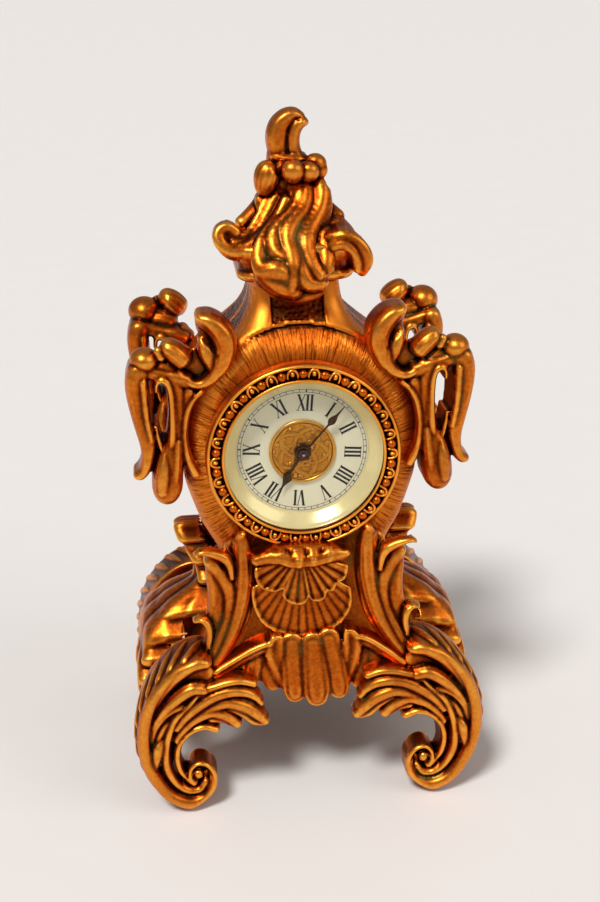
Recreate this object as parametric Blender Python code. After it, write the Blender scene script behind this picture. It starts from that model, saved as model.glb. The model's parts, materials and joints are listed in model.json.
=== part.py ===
import math

import bmesh
import bpy
from mathutils import Matrix, Vector

for old in list(bpy.data.objects):
    bpy.data.objects.remove(old, do_unlink=True)

# Overall form of the casting, metres. X runs right, Y runs back, Z runs up.
leg_height = 0.1000
body_base_share = 0.45
body_base = leg_height * body_base_share
body_rise = 0.1315
body_top = body_base + body_rise
body_half_width = 0.0395
body_half_depth = 0.027
body_wall = 0.0022
seam_gap = 0.0003
joint_gap = 0.0003
overrun = 0.004

# Drum that holds the movement.
drum_outer = 0.0270
drum_wall = 0.0008
drum_proud = 0.0002
drum_setback = 0.0060
drum_front_y = -body_half_depth - drum_proud
drum_back_y = body_half_depth - drum_setback
drum_clearance = 0.0004
cover_thickness = 0.0010

# Dial, glass and bezel, all round the dial axis.
dial_height_share = 0.5954373
dial_height = body_base + body_rise * dial_height_share
dial_play = 0.0005
dial_radius = drum_outer - drum_wall - dial_play
dial_thickness = 0.0007
dial_setback = 0.0020
dial_face_y = dial_setback - body_half_depth
centre_radius = 0.0109
centre_thickness = 0.0006
bezel_width = 0.0045
bezel_outer = drum_outer + bezel_width
bezel_rim_width = 0.0031
bezel_crown_radius = bezel_outer - bezel_rim_width
bezel_crown_height = 0.0057
bezel_lip_radius = dial_radius - joint_gap
bezel_lip_thickness = 0.0010
bead_count = 24
bead_relief = 0.0012
glass_thickness = 0.0009
glass_dome = 0.0009
sight_width = 0.0043
sight_inner = dial_radius - sight_width
sight_thickness = 0.0005

# Hands.
hand_clear = 0.0006
minute_length = sight_inner - hand_clear
hour_length_share = 0.7212
hour_length = minute_length * hour_length_share
hand_thickness = 0.0004
hand_spacing = 0.0010
minute_angle = math.radians(41.4)
hour_angle = math.radians(210.4)
minute_hub = 0.0024
hour_hub = 0.0030
nut_radius = 0.0017
nut_thickness = 0.0008

# Movement plates, pillars and arbors.
plate_radius = drum_outer - drum_wall - joint_gap
plate_thickness = 0.0012
motion_space = 0.0044
back_space = 0.0080
front_plate_y = dial_face_y + motion_space
plate_spacing = drum_back_y - back_space - front_plate_y - plate_thickness
pillar_radius = 0.0014
arbor_radius = 0.0005
pivot_gap = 0.0003
wheel_thickness = 0.0009
pinion_length = 0.0018

# Going train: great wheel to escape wheel.
great_module = 0.00046
centre_module = 0.00040
third_module = 0.00035
fourth_module = 0.00030
wheel_teeth = 40
pinion_leaves = 8
escape_teeth = 15
escape_radius = 0.0040
pallet_distance = 0.0057
balance_distance = 0.0080
balance_radius = 0.0060
balance_rim = 0.0009

# Motion work behind the dial.
cannon_module = 0.00050
cannon_leaves = 8
minute_teeth = 24
hour_leaves = 8
hour_teeth = 32
cannon_radius = 0.00105
hour_pipe_radius = 0.0018

# Mainspring, winding and setting.
winding_radius = 0.0016
spring_width = 0.0075
spring_thickness = 0.0004
spring_outer = 0.0092
spring_turns = 3
ratchet_radius = 0.0040
ratchet_teeth = 16
key_length = 0.0085
key_wing_span = 0.0150
key_wing_height = 0.0070
key_shank_radius = 0.0026
knob_radius = 0.0042
knob_length = 0.0048
lever_length = 0.0085
lever_width = 0.0016

# Legs: one scroll at each corner, from the strap under the bezel to the foot.
leg_spread = 0.0205
leg_reach = body_half_width + leg_spread
leg_depth = 0.0105
leg_stance = 0.0080
leg_front_y = body_half_depth + leg_stance
leaf_thickness = 0.0024

# Corner handles.
handle_spread = 0.0155
handle_reach = body_half_width + handle_spread
handle_height_share = 1.378751
handle_height = dial_height * handle_height_share
handle_depth = 0.0050
handle_setback = 0.0035
handle_front_y = body_half_depth - handle_setback

# Shells, aprons and side leaves.
apron_rise = 0.0150
apron_top = body_base + apron_rise
shell_top = dial_height - bezel_outer - joint_gap * 2
shell_bottom = apron_top
shell_width_share = 0.272
shell_half_width = leg_reach * shell_width_share
shell_thickness = 0.0030
shell_bulge = 0.0050
apron_drop = 0.0235
apron_half_width = 0.0200
apron_thickness = 0.0030
apron_bulge = 0.0034
side_leaf_top_share = 0.93
side_leaf_top = leg_height * side_leaf_top_share
side_leaf_spread = 0.0182
side_leaf_reach = body_half_width + side_leaf_spread
leaf_leg_gap = 0.0040
side_leaf_half_width = leg_front_y - leg_depth - leaf_leg_gap
side_leaf_thickness = 0.0026

# Plinth cap and flame finial.
plinth_height = 0.0127
plinth_base = body_top + joint_gap
plinth_top = plinth_base + plinth_height
plinth_width_share = 0.5266
plinth_depth_share = 0.7407
plinth_half_width = body_half_width * plinth_width_share
plinth_half_depth = body_half_depth * plinth_depth_share
finial_height = 0.0558
finial_seat_share = 0.2957
finial_low = plinth_top - finial_height * finial_seat_share
finial_top = finial_low + finial_height
finial_spread = 0.0042
finial_reach = plinth_half_width + finial_spread
finial_depth = 0.0042
finial_front_y = plinth_half_depth
stud_radius = 0.0016
stud_length = 0.0250
stud_grip_share = 0.45

dial_centre_point = Vector((0, 0, dial_height))
round_steps = 32
ring_steps = bead_count * 2


def material(name, colour, roughness, metallic):
    made = bpy.data.materials.new(name)
    made.use_nodes = True
    shader = made.node_tree.nodes["Principled BSDF"]
    shader.inputs["Base Color"].default_value = (*colour, 1)
    shader.inputs["Roughness"].default_value = roughness
    shader.inputs["Metallic"].default_value = metallic
    return made


bronze_colour = (0.42, 0.16, 0.06)
brass_colour = (0.70, 0.48, 0.18)
steel_colour = (0.30, 0.32, 0.36)
blued_colour = (0.03, 0.03, 0.05)
white_colour = (0.88, 0.84, 0.74)


def add_object(name, mesh, colour=bronze_colour, roughness=0.4, metallic=1):
    mesh.name = name
    obj = bpy.data.objects.new(name, mesh)
    bpy.context.scene.collection.objects.link(obj)
    mesh.materials.clear()
    mesh.materials.append(material(name + "_finish", colour, roughness, metallic))
    return obj


def mesh_from(points, faces):
    shape = bmesh.new()
    corners = [shape.verts.new(point) for point in points]
    for face in faces:
        shape.faces.new([corners[index] for index in face])
    bmesh.ops.recalc_face_normals(shape, faces=shape.faces)
    mesh = bpy.data.meshes.new("form")
    shape.to_mesh(mesh)
    shape.free()
    return mesh


# Boolean work on loose meshes: helpers are removed once the result is read.
def combine(mesh, others, operation, crossing):
    base = bpy.data.objects.new("base", mesh)
    bpy.context.scene.collection.objects.link(base)
    helpers = []
    for other in others:
        helper = bpy.data.objects.new("helper", other)
        bpy.context.scene.collection.objects.link(helper)
        helper.hide_render = True
        helper.display_type = "WIRE"
        helpers.append(helper)
        step = base.modifiers.new("step", "BOOLEAN")
        step.operation = operation
        step.solver = "EXACT"
        step.use_self = crossing
        step.object = helper
    graph = bpy.context.evaluated_depsgraph_get()
    result = bpy.data.meshes.new_from_object(base.evaluated_get(graph))
    for helper in helpers + [base]:
        bpy.data.objects.remove(helper, do_unlink=True)
    return result


def fused(mesh, others, crossing=False):
    return combine(mesh, others, "UNION", crossing)


def cut(mesh, others, crossing=False):
    return combine(mesh, others, "DIFFERENCE", crossing)


# Smooth rows through hand-placed rows, each row a tuple of numbers.
def smooth_rows(rows, steps):
    made = []
    last = len(rows) - 1
    for span in range(last):
        before = rows[max(span - 1, 0)]
        start = rows[span]
        end = rows[span + 1]
        after = rows[min(span + 2, last)]
        for step in range(steps):
            t = step / steps
            made.append(
                tuple(
                    0.5
                    * (
                        2 * b
                        + (c - a) * t
                        + (2 * a - 5 * b + 4 * c - d) * t * t
                        + (3 * b - a - 3 * c + d) * t * t * t
                    )
                    for a, b, c, d in zip(before, start, end, after)
                )
            )
    made.append(tuple(rows[last]))
    return made


def loop_mesh(rings):
    count = len(rings[0])
    points = [point for ring in rings for point in ring]
    faces = []
    for row in range(len(rings) - 1):
        for column in range(count):
            following = (column + 1) % count
            faces.append(
                (
                    row * count + column,
                    row * count + following,
                    (row + 1) * count + following,
                    (row + 1) * count + column,
                )
            )
    faces.append(tuple(range(count)))
    faces.append(tuple((len(rings) - 1) * count + column for column in range(count)))
    return mesh_from(points, faces)


# A closed plate from a grid of front points and a thickness towards the back.
def plate_mesh(front, back):
    rows = len(front)
    columns = len(front[0])
    points = [point for row in front for point in row]
    points += [point for row in back for point in row]
    shift = rows * columns
    faces = []
    for row in range(rows - 1):
        for column in range(columns - 1):
            a = row * columns + column
            faces.append((a, a + 1, a + columns + 1, a + columns))
            faces.append((shift + a, shift + a + columns, shift + a + columns + 1, shift + a + 1))
    rim = [column for column in range(columns)]
    rim += [row * columns + columns - 1 for row in range(1, rows)]
    rim += [(rows - 1) * columns + column for column in range(columns - 2, -1, -1)]
    rim += [row * columns for row in range(rows - 2, 0, -1)]
    for place, index in enumerate(rim):
        following = rim[(place + 1) % len(rim)]
        faces.append((index, shift + index, shift + following, following))
    return mesh_from(points, faces)


# Turned form round an axis along Y. The profile is rows of radius and depth.
def turned_mesh(profile, steps, centre, relief=None, phase_share=0):
    points = []
    rings = []
    for place, (radius, depth) in enumerate(profile):
        ring = []
        if radius == 0:
            ring = [len(points)] * steps
            points.append((centre.x, depth, centre.z))
        else:
            for step in range(steps):
                turn = math.tau * (step + phase_share) / steps
                raised = relief(place, step) if relief else 0
                ring.append(len(points))
                points.append(
                    (
                        centre.x + radius * math.sin(turn),
                        depth + raised,
                        centre.z + radius * math.cos(turn),
                    )
                )
        rings.append(ring)
    closed = profile[0][0] != 0
    faces = []
    for place in range(len(rings) - (0 if closed else 1)):
        ring = rings[place]
        following = rings[(place + 1) % len(rings)]
        for step in range(steps):
            after = (step + 1) % steps
            corners = [ring[step], ring[after], following[after], following[step]]
            unique = []
            for corner in corners:
                if corner not in unique:
                    unique.append(corner)
            if len(unique) > 2:
                faces.append(tuple(unique))
    return mesh_from(points, faces)


def rod_mesh(radius, start, end, centre, steps=10, phase_share=0):
    profile = [(0, start), (radius, start), (radius, end), (0, end)]
    return turned_mesh(profile, steps, centre, None, phase_share)


def tube_mesh(outer, inner, start, end, centre, steps):
    profile = [(outer, start), (outer, end), (inner, end), (inner, start)]
    return turned_mesh(profile, steps, centre)


# A toothed wheel. A base share gives the teeth a flat root, as on a pinion.
def wheel_mesh(teeth, module, start, end, centre, phase, base_share=None):
    root = module * teeth / 2 - module * root_share
    tip = module * teeth / 2 + module * tip_share
    outline = []
    for tooth in range(teeth):
        middle = phase + math.tau * tooth / teeth
        half = math.tau / teeth * (base_share or 0.5)
        corners = [(middle - half, root), (middle, tip)]
        if base_share:
            corners.append((middle + half, root))
        for turn, radius in corners:
            outline.append((centre.x + radius * math.cos(turn), centre.z + radius * math.sin(turn)))
    return loop_mesh([[(x, depth, z) for x, z in outline] for depth in (start, end)])


root_share = 1.25
tip_share = 0.85


def box_mesh(low, high):
    corners = [(x, y, z) for x in (low[0], high[0]) for y in (low[1], high[1]) for z in (low[2], high[2])]
    faces = [(0, 1, 3, 2), (4, 6, 7, 5), (0, 4, 5, 1), (2, 3, 7, 6), (0, 2, 6, 4), (1, 5, 7, 3)]
    return mesh_from(corners, faces)


# Body of the case: rows of height, half width, half depth and corner rounding, as shares.
body_shares = [
    (0.000, 1.04, 1.32, 0.34),
    (0.100, 0.87, 1.18, 0.34),
    (0.225, 0.67, 1.05, 0.34),
    (0.295, 0.66, 1.01, 0.34),
    (0.355, 0.76, 1.00, 0.34),
    (0.420, 0.88, 1.00, 0.34),
    (0.520, 0.985, 1.00, 0.34),
    (0.680, 0.990, 1.00, 0.34),
    (0.765, 0.91, 1.00, 0.34),
    (0.820, 0.76, 0.98, 0.36),
    (0.862, 0.58, 0.92, 0.38),
    (0.900, 0.45, 0.74, 0.40),
    (0.945, 0.375, 0.58, 0.40),
    (1.000, 0.355, 0.53, 0.40),
]


def body_sizes():
    rise = body_top - body_base
    return [
        (body_base + rise * height, body_half_width * width, body_half_depth * depth, rounding)
        for height, width, depth, rounding in body_shares
    ]


def half_ring(height, half_width, half_depth, rounding, facing, seam):
    radius = rounding * min(half_width, half_depth)
    corner_x = half_width - radius
    corner_y = half_depth - radius
    ring = [(half_width, seam)]
    for step in range(3):
        turn = math.pi / 2 * step / 2
        ring.append((corner_x + radius * math.cos(turn), corner_y + radius * math.sin(turn)))
    ring.append((0, half_depth))
    mirrored = [(-x, y) for x, y in reversed(ring[:-1])]
    return [(x, facing * y, height) for x, y in ring + mirrored]


def half_shell(facing):
    outer = []
    inner = []
    for height, half_width, half_depth, rounding in body_sizes():
        outer.append(half_ring(height, half_width, half_depth, rounding, facing, seam_gap / 2))
        inner.append(
            half_ring(
                height,
                half_width - body_wall,
                half_depth - body_wall,
                rounding,
                facing,
                seam_gap / 2,
            )
        )
    return plate_mesh(outer, inner)


# The whole outer form, grown by a clearance: ornaments are seated on it.
def body_form(grow):
    rows = body_sizes()
    base = rows[0]
    crown = rows[-1]
    rows = [(base[0] - grow - overrun, *base[1:])] + rows + [(crown[0] + grow + overrun, *crown[1:])]
    rings = []
    for height, half_width, half_depth, rounding in rows:
        front = half_ring(height, half_width + grow, half_depth + grow, rounding, -1, 0)
        back = half_ring(height, half_width + grow, half_depth + grow, rounding, 1, 0)
        rings.append(front[:-1] + list(reversed(back))[:-1])
    return loop_mesh(rings)


case_bore = drum_outer + drum_clearance
bore_front = rod_mesh(case_bore, -body_half_depth - overrun * 2, 0, dial_centre_point, round_steps)
bore_back = rod_mesh(case_bore, 0, body_half_depth + overrun * 2, dial_centre_point, round_steps)
case_front = add_object("case_front", cut(half_shell(-1), [bore_front]))
case_back = add_object("case_back", cut(half_shell(1), [bore_back]))


# A ribbon in a plane across the clock. Rows hold place across, height, half width,
# depth of the middle and half depth. The section has its ridges on the outer face.
section_shares = [
    (-0.95, -0.55),
    (-0.62, -1.00),
    (-0.10, -0.72),
    (0.42, -1.00),
    (0.95, -0.60),
    (0.95, 0.85),
    (-0.95, 0.85),
]


bar_section_shares = [
    (-0.95, -0.50),
    (-0.40, -1.00),
    (0.00, -0.72),
    (0.45, -1.00),
    (0.95, -0.50),
    (0.60, 0.90),
    (-0.60, 0.90),
]


def ribbon_rings(rows, side, facing, section, across_only=False):
    rings = []
    for place, (across, height, half, middle, half_depth) in enumerate(rows):
        before = rows[max(place - 1, 0)]
        after = rows[min(place + 1, len(rows) - 1)]
        run = Vector((after[0] - before[0], after[1] - before[1])).normalized()
        normal = Vector((-1, 0)) if across_only else Vector((run.y, -run.x))
        ring = []
        for u, v in section:
            x = across + normal.x * u * half
            z = height + normal.y * u * half
            y = middle - v * half_depth
            ring.append((side * x, facing * y, max(z, 0)))
        rings.append(ring)
    return rings


# Ribbon from hand-chosen shares: places over a reach and a rise, widths over the reach,
# depths over the named depth sizes.
def ribbon(shares, reach, rise, depth_middle, depth_half, side, facing, curled, section=None):
    steps = 2
    rows = [
        (x * reach, z * rise, half * reach, middle * depth_middle, deep * depth_half)
        for x, z, half, middle, deep in shares
    ]
    straight = rows[: len(rows) - curled]
    rows = straight[:-1] + smooth_rows(rows[len(straight) - 1 :], steps) if curled else rows
    return loop_mesh(ribbon_rings(rows, side, facing, section or section_shares))


leg_shares = [
    (0.340, 0.955, 0.046, 0.90, 0.20),
    (0.390, 0.885, 0.086, 0.89, 0.22),
    (0.410, 0.800, 0.104, 0.89, 0.26),
    (0.435, 0.710, 0.112, 0.89, 0.36),
    (0.505, 0.625, 0.116, 0.89, 0.52),
    (0.620, 0.555, 0.128, 0.90, 0.74),
    (0.735, 0.490, 0.140, 0.92, 0.90),
    (0.825, 0.410, 0.140, 0.94, 1.00),
    (0.878, 0.310, 0.120, 0.97, 1.00),
    (0.884, 0.215, 0.104, 0.99, 1.00),
    (0.850, 0.135, 0.098, 1.00, 1.00),
    (0.790, 0.068, 0.086, 1.00, 1.00),
    (0.724, 0.038, 0.076, 1.00, 1.00),
    (0.648, 0.036, 0.068, 1.00, 1.00),
    (0.582, 0.072, 0.044, 1.00, 0.99),
    (0.572, 0.115, 0.036, 1.00, 0.98),
    (0.607, 0.152, 0.033, 1.00, 0.97),
    (0.660, 0.154, 0.031, 1.00, 0.96),
    (0.694, 0.129, 0.028, 1.00, 0.96),
    (0.682, 0.104, 0.024, 1.00, 0.97),
]
eye_shares = (0.650, 0.108, 0.100, 0.78)
inner_leaf_shares = [
    (0.80, 0.400, 0.100, 1.00),
    (0.68, 0.420, 0.155, 1.02),
    (0.56, 0.415, 0.150, 1.03),
    (0.44, 0.395, 0.125, 1.03),
    (0.33, 0.365, 0.085, 1.02),
    (0.25, 0.345, 0.030, 1.01),
]


# A leaf whose edge is cut into lobes. Rows: across, height, half width, depth.
def leg_leaf(side, facing):
    rows = [
        (x * leg_reach, z * leg_height, half * leg_reach, middle * leg_front_y)
        for x, z, half, middle in inner_leaf_shares
    ]
    fine = smooth_rows(rows, 2)
    front = []
    back = []
    for place, (x, z, half, y) in enumerate(fine):
        lobe = 1 if place % 2 else lobe_valley_share
        line_front = []
        line_back = []
        for t in (-1, 0, 1):
            reach = half * (lobe if t < 0 else 1) * t
            crown = leaf_thickness * (1 - t * t)
            deep = facing * (y + crown)
            thin = facing * (y - leaf_thickness)
            line_front.append((side * (x - abs(reach) * 0.25), deep, z + reach))
            line_back.append((side * (x - abs(reach) * 0.25), thin, z + reach))
        front.append(line_front)
        back.append(line_back)
    return plate_mesh(front, back)


lobe_valley_share = 0.72
seated = body_form(joint_gap)
bezel_clear_radius = bezel_outer + joint_gap
bezel_clear_y = -body_half_depth - bezel_crown_height - overrun
bezel_clear = rod_mesh(bezel_clear_radius, bezel_clear_y, 0, dial_centre_point, round_steps)


def leg_mesh(side, facing):
    middle = leg_front_y
    scroll = ribbon(leg_shares, leg_reach, leg_height, middle, leg_depth, side, facing, 8)
    x, z, radius, deep = eye_shares
    eye_centre = Vector((side * x * leg_reach, 0, z * leg_height))
    face = facing * (middle + leg_depth * deep)
    rear = facing * (middle - leg_depth * deep)
    low, high = min(face, rear), max(face, rear)
    eye = rod_mesh(radius * leg_reach, low, high, eye_centre, 10)
    leaf = leg_leaf(side, facing)
    return fused(scroll, [eye, leaf])


corners = [
    ("front_left", -1, -1),
    ("front_right", 1, -1),
    ("back_left", -1, 1),
    ("back_right", 1, 1),
]
for corner, side, facing in corners:
    add_object("leg_" + corner, cut(leg_mesh(side, facing), [seated.copy(), bezel_clear.copy()]))

# Handles: an outer bar with the scrolled head and an inner bar behind the slot, with a curl on the front pair.
curl_shares = [
    (0.585, 0.975, 0.036, 1.00, 0.80),
    (0.520, 0.993, 0.044, 1.00, 0.90),
    (0.435, 0.972, 0.046, 1.00, 1.00),
    (0.400, 0.930, 0.042, 1.00, 1.00),
    (0.435, 0.893, 0.036, 1.00, 1.00),
    (0.530, 0.876, 0.034, 1.00, 1.00),
    (0.630, 0.886, 0.036, 1.00, 0.95),
    (0.710, 0.915, 0.044, 1.00, 0.90),
]
outer_bar_shares = [
    (0.660, 0.905, 0.040, 1.00, 0.90),
    (0.715, 0.948, 0.066, 1.00, 1.05),
    (0.800, 0.950, 0.078, 1.00, 1.10),
    (0.875, 0.922, 0.086, 1.00, 1.05),
    (0.908, 0.872, 0.082, 1.00, 0.95),
    (0.900, 0.810, 0.066, 1.00, 0.90),
    (0.870, 0.755, 0.055, 1.00, 0.85),
    (0.880, 0.715, 0.050, 1.00, 0.75),
    (0.945, 0.695, 0.030, 1.00, 0.60),
]
inner_bar_shares = [
    (0.720, 0.930, 0.060, 0.98, 0.85),
    (0.715, 0.870, 0.034, 0.98, 0.85),
    (0.710, 0.800, 0.034, 0.98, 0.85),
    (0.740, 0.735, 0.055, 0.98, 0.85),
    (0.800, 0.690, 0.060, 0.98, 0.75),
    (0.815, 0.655, 0.030, 0.98, 0.60),
]


def handle_mesh(side, facing):
    args = (handle_reach, handle_height, handle_front_y, handle_depth, side, facing)
    outer = ribbon(outer_bar_shares, *args, 0, bar_section_shares)
    inner = ribbon(inner_bar_shares, *args, 0, bar_section_shares)
    if facing > 0:
        return fused(outer, [inner])
    curl = ribbon(curl_shares, *args, 0, bar_section_shares)
    return fused(outer, [inner, curl])


for corner, side, facing in corners:
    add_object("handle_" + corner, cut(handle_mesh(side, facing), [seated.copy(), bezel_clear.copy()]))

# Plinth cap: closes the top of the case and carries the finial.
plinth_shares = [
    (0.00, 0.78, 0.78),
    (0.10, 0.82, 0.82),
    (0.28, 0.84, 0.84),
    (0.52, 0.92, 0.92),
    (0.74, 1.00, 1.00),
    (0.90, 1.00, 1.00),
    (1.00, 0.93, 0.93),
]
plinth_rounding_share = 0.22


def plinth_form(grow):
    rise = plinth_top - plinth_base
    rings = []
    for place, (height, width, depth) in enumerate(plinth_shares):
        z = plinth_base + rise * height
        if place == 0:
            z -= grow
        if place == len(plinth_shares) - 1:
            z += grow
        sizes = (z, plinth_half_width * width + grow, plinth_half_depth * depth + grow)
        front = half_ring(*sizes, plinth_rounding_share, -1, 0)
        back = half_ring(*sizes, plinth_rounding_share, 1, 0)
        rings.append(front[:-1] + list(reversed(back))[:-1])
    return loop_mesh(rings)


def upright_rod(radius, low, high, steps=12):
    rings = []
    for z in (low, high):
        ring = []
        for step in range(steps):
            turn = math.tau * step / steps
            ring.append((radius * math.cos(turn), radius * math.sin(turn), z))
        rings.append(ring)
    return loop_mesh(rings)


stud_bore = stud_radius + joint_gap
stud_top = plinth_top + stud_length * stud_grip_share
stud_foot = stud_top - stud_length
nut_height = stud_radius * 1.4
nut_low = plinth_base - joint_gap - nut_height
through = upright_rod(stud_bore, plinth_base - overrun, plinth_top + overrun)
add_object("plinth", cut(plinth_form(0), [through]))
add_object("finial_stud", upright_rod(stud_radius, stud_foot, stud_top), steel_colour)
nut_blank = upright_rod(stud_radius * 2.6, nut_low, nut_low + nut_height, 6)
nut_hole = upright_rod(stud_bore, nut_low - overrun, nut_low + nut_height + overrun)
add_object("finial_nut", cut(nut_blank, [nut_hole]), steel_colour)

# Finial: strands that fall over the plinth, a horn, knobs and two side leaves.
mane_shares = [
    (0.12, 0.62, 0.22, 0.12, 0.90),
    (0.20, 0.52, 0.23, 0.36, 1.00),
    (0.12, 0.40, 0.26, 0.68, 1.05),
    (-0.03, 0.29, 0.30, 0.98, 1.15),
    (-0.14, 0.20, 0.36, 1.14, 1.10),
    (-0.10, 0.12, 0.39, 1.20, 1.00),
    (-0.04, 0.06, 0.26, 1.20, 0.85),
    (0.02, 0.02, 0.10, 1.18, 0.60),
]
core_shares = [
    (0.00, 0.302, 0.62, 0.00, 2.60),
    (0.00, 0.37, 0.46, 0.00, 2.10),
    (0.04, 0.50, 0.28, 0.00, 1.40),
    (0.04, 0.62, 0.20, 0.00, 1.10),
    (0.02, 0.70, 0.19, 0.00, 0.95),
]
horn_shares = [
    (0.00, 0.66, 0.20, 0.00, 0.85),
    (-0.02, 0.74, 0.215, 0.02, 1.00),
    (-0.07, 0.82, 0.205, 0.04, 1.00),
    (-0.06, 0.89, 0.185, 0.05, 0.95),
    (0.00, 0.940, 0.130, 0.06, 0.85),
    (0.10, 0.955, 0.085, 0.07, 0.70),
    (0.19, 0.935, 0.050, 0.08, 0.50),
]
left_leaf_shares = [
    (0.02, 0.48, 0.10, 0.30, 0.80),
    (-0.30, 0.41, 0.11, 0.36, 0.95),
    (-0.47, 0.325, 0.10, 0.42, 1.00),
    (-0.64, 0.280, 0.09, 0.48, 1.00),
    (-0.80, 0.278, 0.09, 0.52, 0.95),
    (-0.90, 0.305, 0.07, 0.54, 0.85),
    (-0.95, 0.335, 0.03, 0.55, 0.70),
]
right_leaf_shares = [
    (0.28, 0.26, 0.13, 0.40, 1.00),
    (0.48, 0.325, 0.10, 0.40, 1.20),
    (0.72, 0.330, 0.08, 0.44, 1.20),
    (0.88, 0.270, 0.08, 0.48, 1.15),
    (0.95, 0.195, 0.07, 0.52, 1.00),
    (0.93, 0.125, 0.03, 0.56, 0.80),
]
knob_shares = [
    (-0.27, 0.60, 0.20, 0.20),
    (0.01, 0.655, 0.14, 0.34),
    (0.27, 0.650, 0.15, 0.16),
]


def ball_mesh(centre, radius):
    shape = bmesh.new()
    bmesh.ops.create_uvsphere(shape, u_segments=8, v_segments=5, radius=radius)
    bmesh.ops.translate(shape, verts=shape.verts, vec=centre)
    mesh = bpy.data.meshes.new("ball")
    shape.to_mesh(mesh)
    shape.free()
    return mesh


def finial_mesh():
    rise = finial_top - finial_low
    strands = []
    for shares in (mane_shares, core_shares, horn_shares, left_leaf_shares, right_leaf_shares):
        rows = [
            (x * finial_reach, z * rise, half * finial_reach, deep * finial_front_y, thick * finial_depth)
            for x, z, half, deep, thick in shares
        ]
        if shares in (mane_shares, horn_shares):
            rows = smooth_rows(rows, 2)
        rings = ribbon_rings(rows, 1, -1, section_shares, shares in (mane_shares, core_shares))
        rings = [[(x, y, z + finial_low) for x, y, z in ring] for ring in rings]
        strands.append(loop_mesh(rings))
    for x, z, radius, deep in knob_shares:
        centre = Vector((x * finial_reach, -deep * finial_front_y, finial_low + z * rise))
        strands.append(ball_mesh(centre, radius * finial_reach))
    return fused(strands[0], strands[1:], True)


seat_bore = upright_rod(stud_bore, plinth_top - overrun, stud_top + joint_gap)
plinth_seat = plinth_form(joint_gap)
add_object("finial", cut(finial_mesh(), [plinth_seat, seated.copy(), seat_bore], True))

# Front shell: fluted plate with a rolled lip. Rows: height, half width, stand-off.
shell_shares = [
    (1.00, 0.84, 0.75),
    (0.94, 0.88, 1.00),
    (0.84, 0.78, 0.35),
    (0.66, 0.92, 0.65),
    (0.46, 1.00, 0.95),
    (0.26, 0.86, 0.90),
    (0.10, 0.60, 0.60),
    (0.00, 0.30, 0.35),
]
shell_flutes = 7
flute_share = 0.22


def body_depth(height):
    rows = body_sizes()
    for low, high in zip(rows, rows[1:]):
        if low[0] <= height <= high[0]:
            t = (height - low[0]) / (high[0] - low[0])
            return low[2] + (high[2] - low[2]) * t
    return rows[0][2]


def fluted_plate(shares, low, high, half_width, thickness, bulge, flutes, facing, sag):
    front = []
    back = []
    columns = flutes * 2 + 1
    for place, (height, width, stand) in enumerate(shares):
        line_front = []
        line_back = []
        for column in range(columns):
            t = 2 * column / (columns - 1) - 1
            x = half_width * width * t
            ridge = 1 if column % 2 else 1 - flute_share
            drop = sag * (place / (len(shares) - 1)) * (t * t - (0.5 if column % 2 else 0))
            z = low + (high - low) * height + drop
            rear = body_depth(z) + joint_gap
            out = thickness + bulge * stand * (1 - 0.35 * t * t) * ridge
            line_front.append((x, facing * (rear + out), z))
            line_back.append((x, facing * (rear - body_wall), z))
        front.append(line_front)
        back.append(line_back)
    return plate_mesh(front, back)


shell = fluted_plate(
    shell_shares,
    shell_bottom,
    shell_top,
    shell_half_width,
    shell_thickness,
    shell_bulge,
    shell_flutes,
    -1,
    shell_thickness,
)
add_object("front_shell", cut(shell, [seated.copy()]))

# Aprons: five-lobed fan skirts under the shell, at the front and at the back.
apron_shares = [
    (0.90, 0.44, 0.45),
    (0.72, 0.80, 0.60),
    (0.52, 0.88, 0.72),
    (0.28, 0.62, 0.90),
    (0.08, 0.54, 1.00),
    (0.00, 0.48, 0.95),
]
apron_lobes = 5
for name, facing in (("front_apron", -1), ("back_apron", 1)):
    fan = fluted_plate(
        apron_shares,
        apron_top - apron_drop,
        apron_top,
        apron_half_width,
        apron_thickness,
        apron_bulge,
        apron_lobes,
        facing,
        apron_thickness,
    )
    add_object(name, cut(fan, [seated.copy()]))

# Side leaves: lobed acanthus between a front and a back leg.
# Rows: reach, height, half width.
side_leaf_shares = [
    (0.455, 1.00, 0.20),
    (0.465, 0.90, 0.42),
    (0.520, 0.80, 0.60),
    (0.620, 0.70, 0.74),
    (0.760, 0.60, 0.90),
    (0.890, 0.51, 0.95),
    (0.965, 0.43, 0.72),
    (0.955, 0.37, 0.30),
]


def side_leaf(side):
    rows = [
        (x * side_leaf_reach, z * side_leaf_top, half * side_leaf_half_width)
        for x, z, half in side_leaf_shares
    ]
    rows = smooth_rows(rows, 2)
    front = []
    back = []
    for place, (x, z, half) in enumerate(rows):
        before = rows[max(place - 1, 0)]
        after = rows[min(place + 1, len(rows) - 1)]
        run = Vector((after[0] - before[0], after[1] - before[1])).normalized()
        normal = Vector((-run.y, run.x))
        lobe = lobe_valley_share if place % 2 else 1
        line_front = []
        line_back = []
        for t in (-1, -0.5, 0, 0.5, 1):
            y = half * (lobe if abs(t) == 1 else 1) * t
            crown = side_leaf_thickness * (0.6 * (1 - t * t) + (0.5 if t == 0 else 0))
            out = crown + side_leaf_thickness * 0.5
            line_front.append((side * (x + normal.x * out), y, z + normal.y * out))
            line_back.append(
                (
                    side * (x - normal.x * side_leaf_thickness * 0.5),
                    y,
                    z - normal.y * side_leaf_thickness * 0.5,
                )
            )
        front.append(line_front)
        back.append(line_back)
    return plate_mesh(front, back)


for name, side in (("side_leaf_left", -1), ("side_leaf_right", 1)):
    add_object(name, cut(side_leaf(side), [seated.copy()]))

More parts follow.
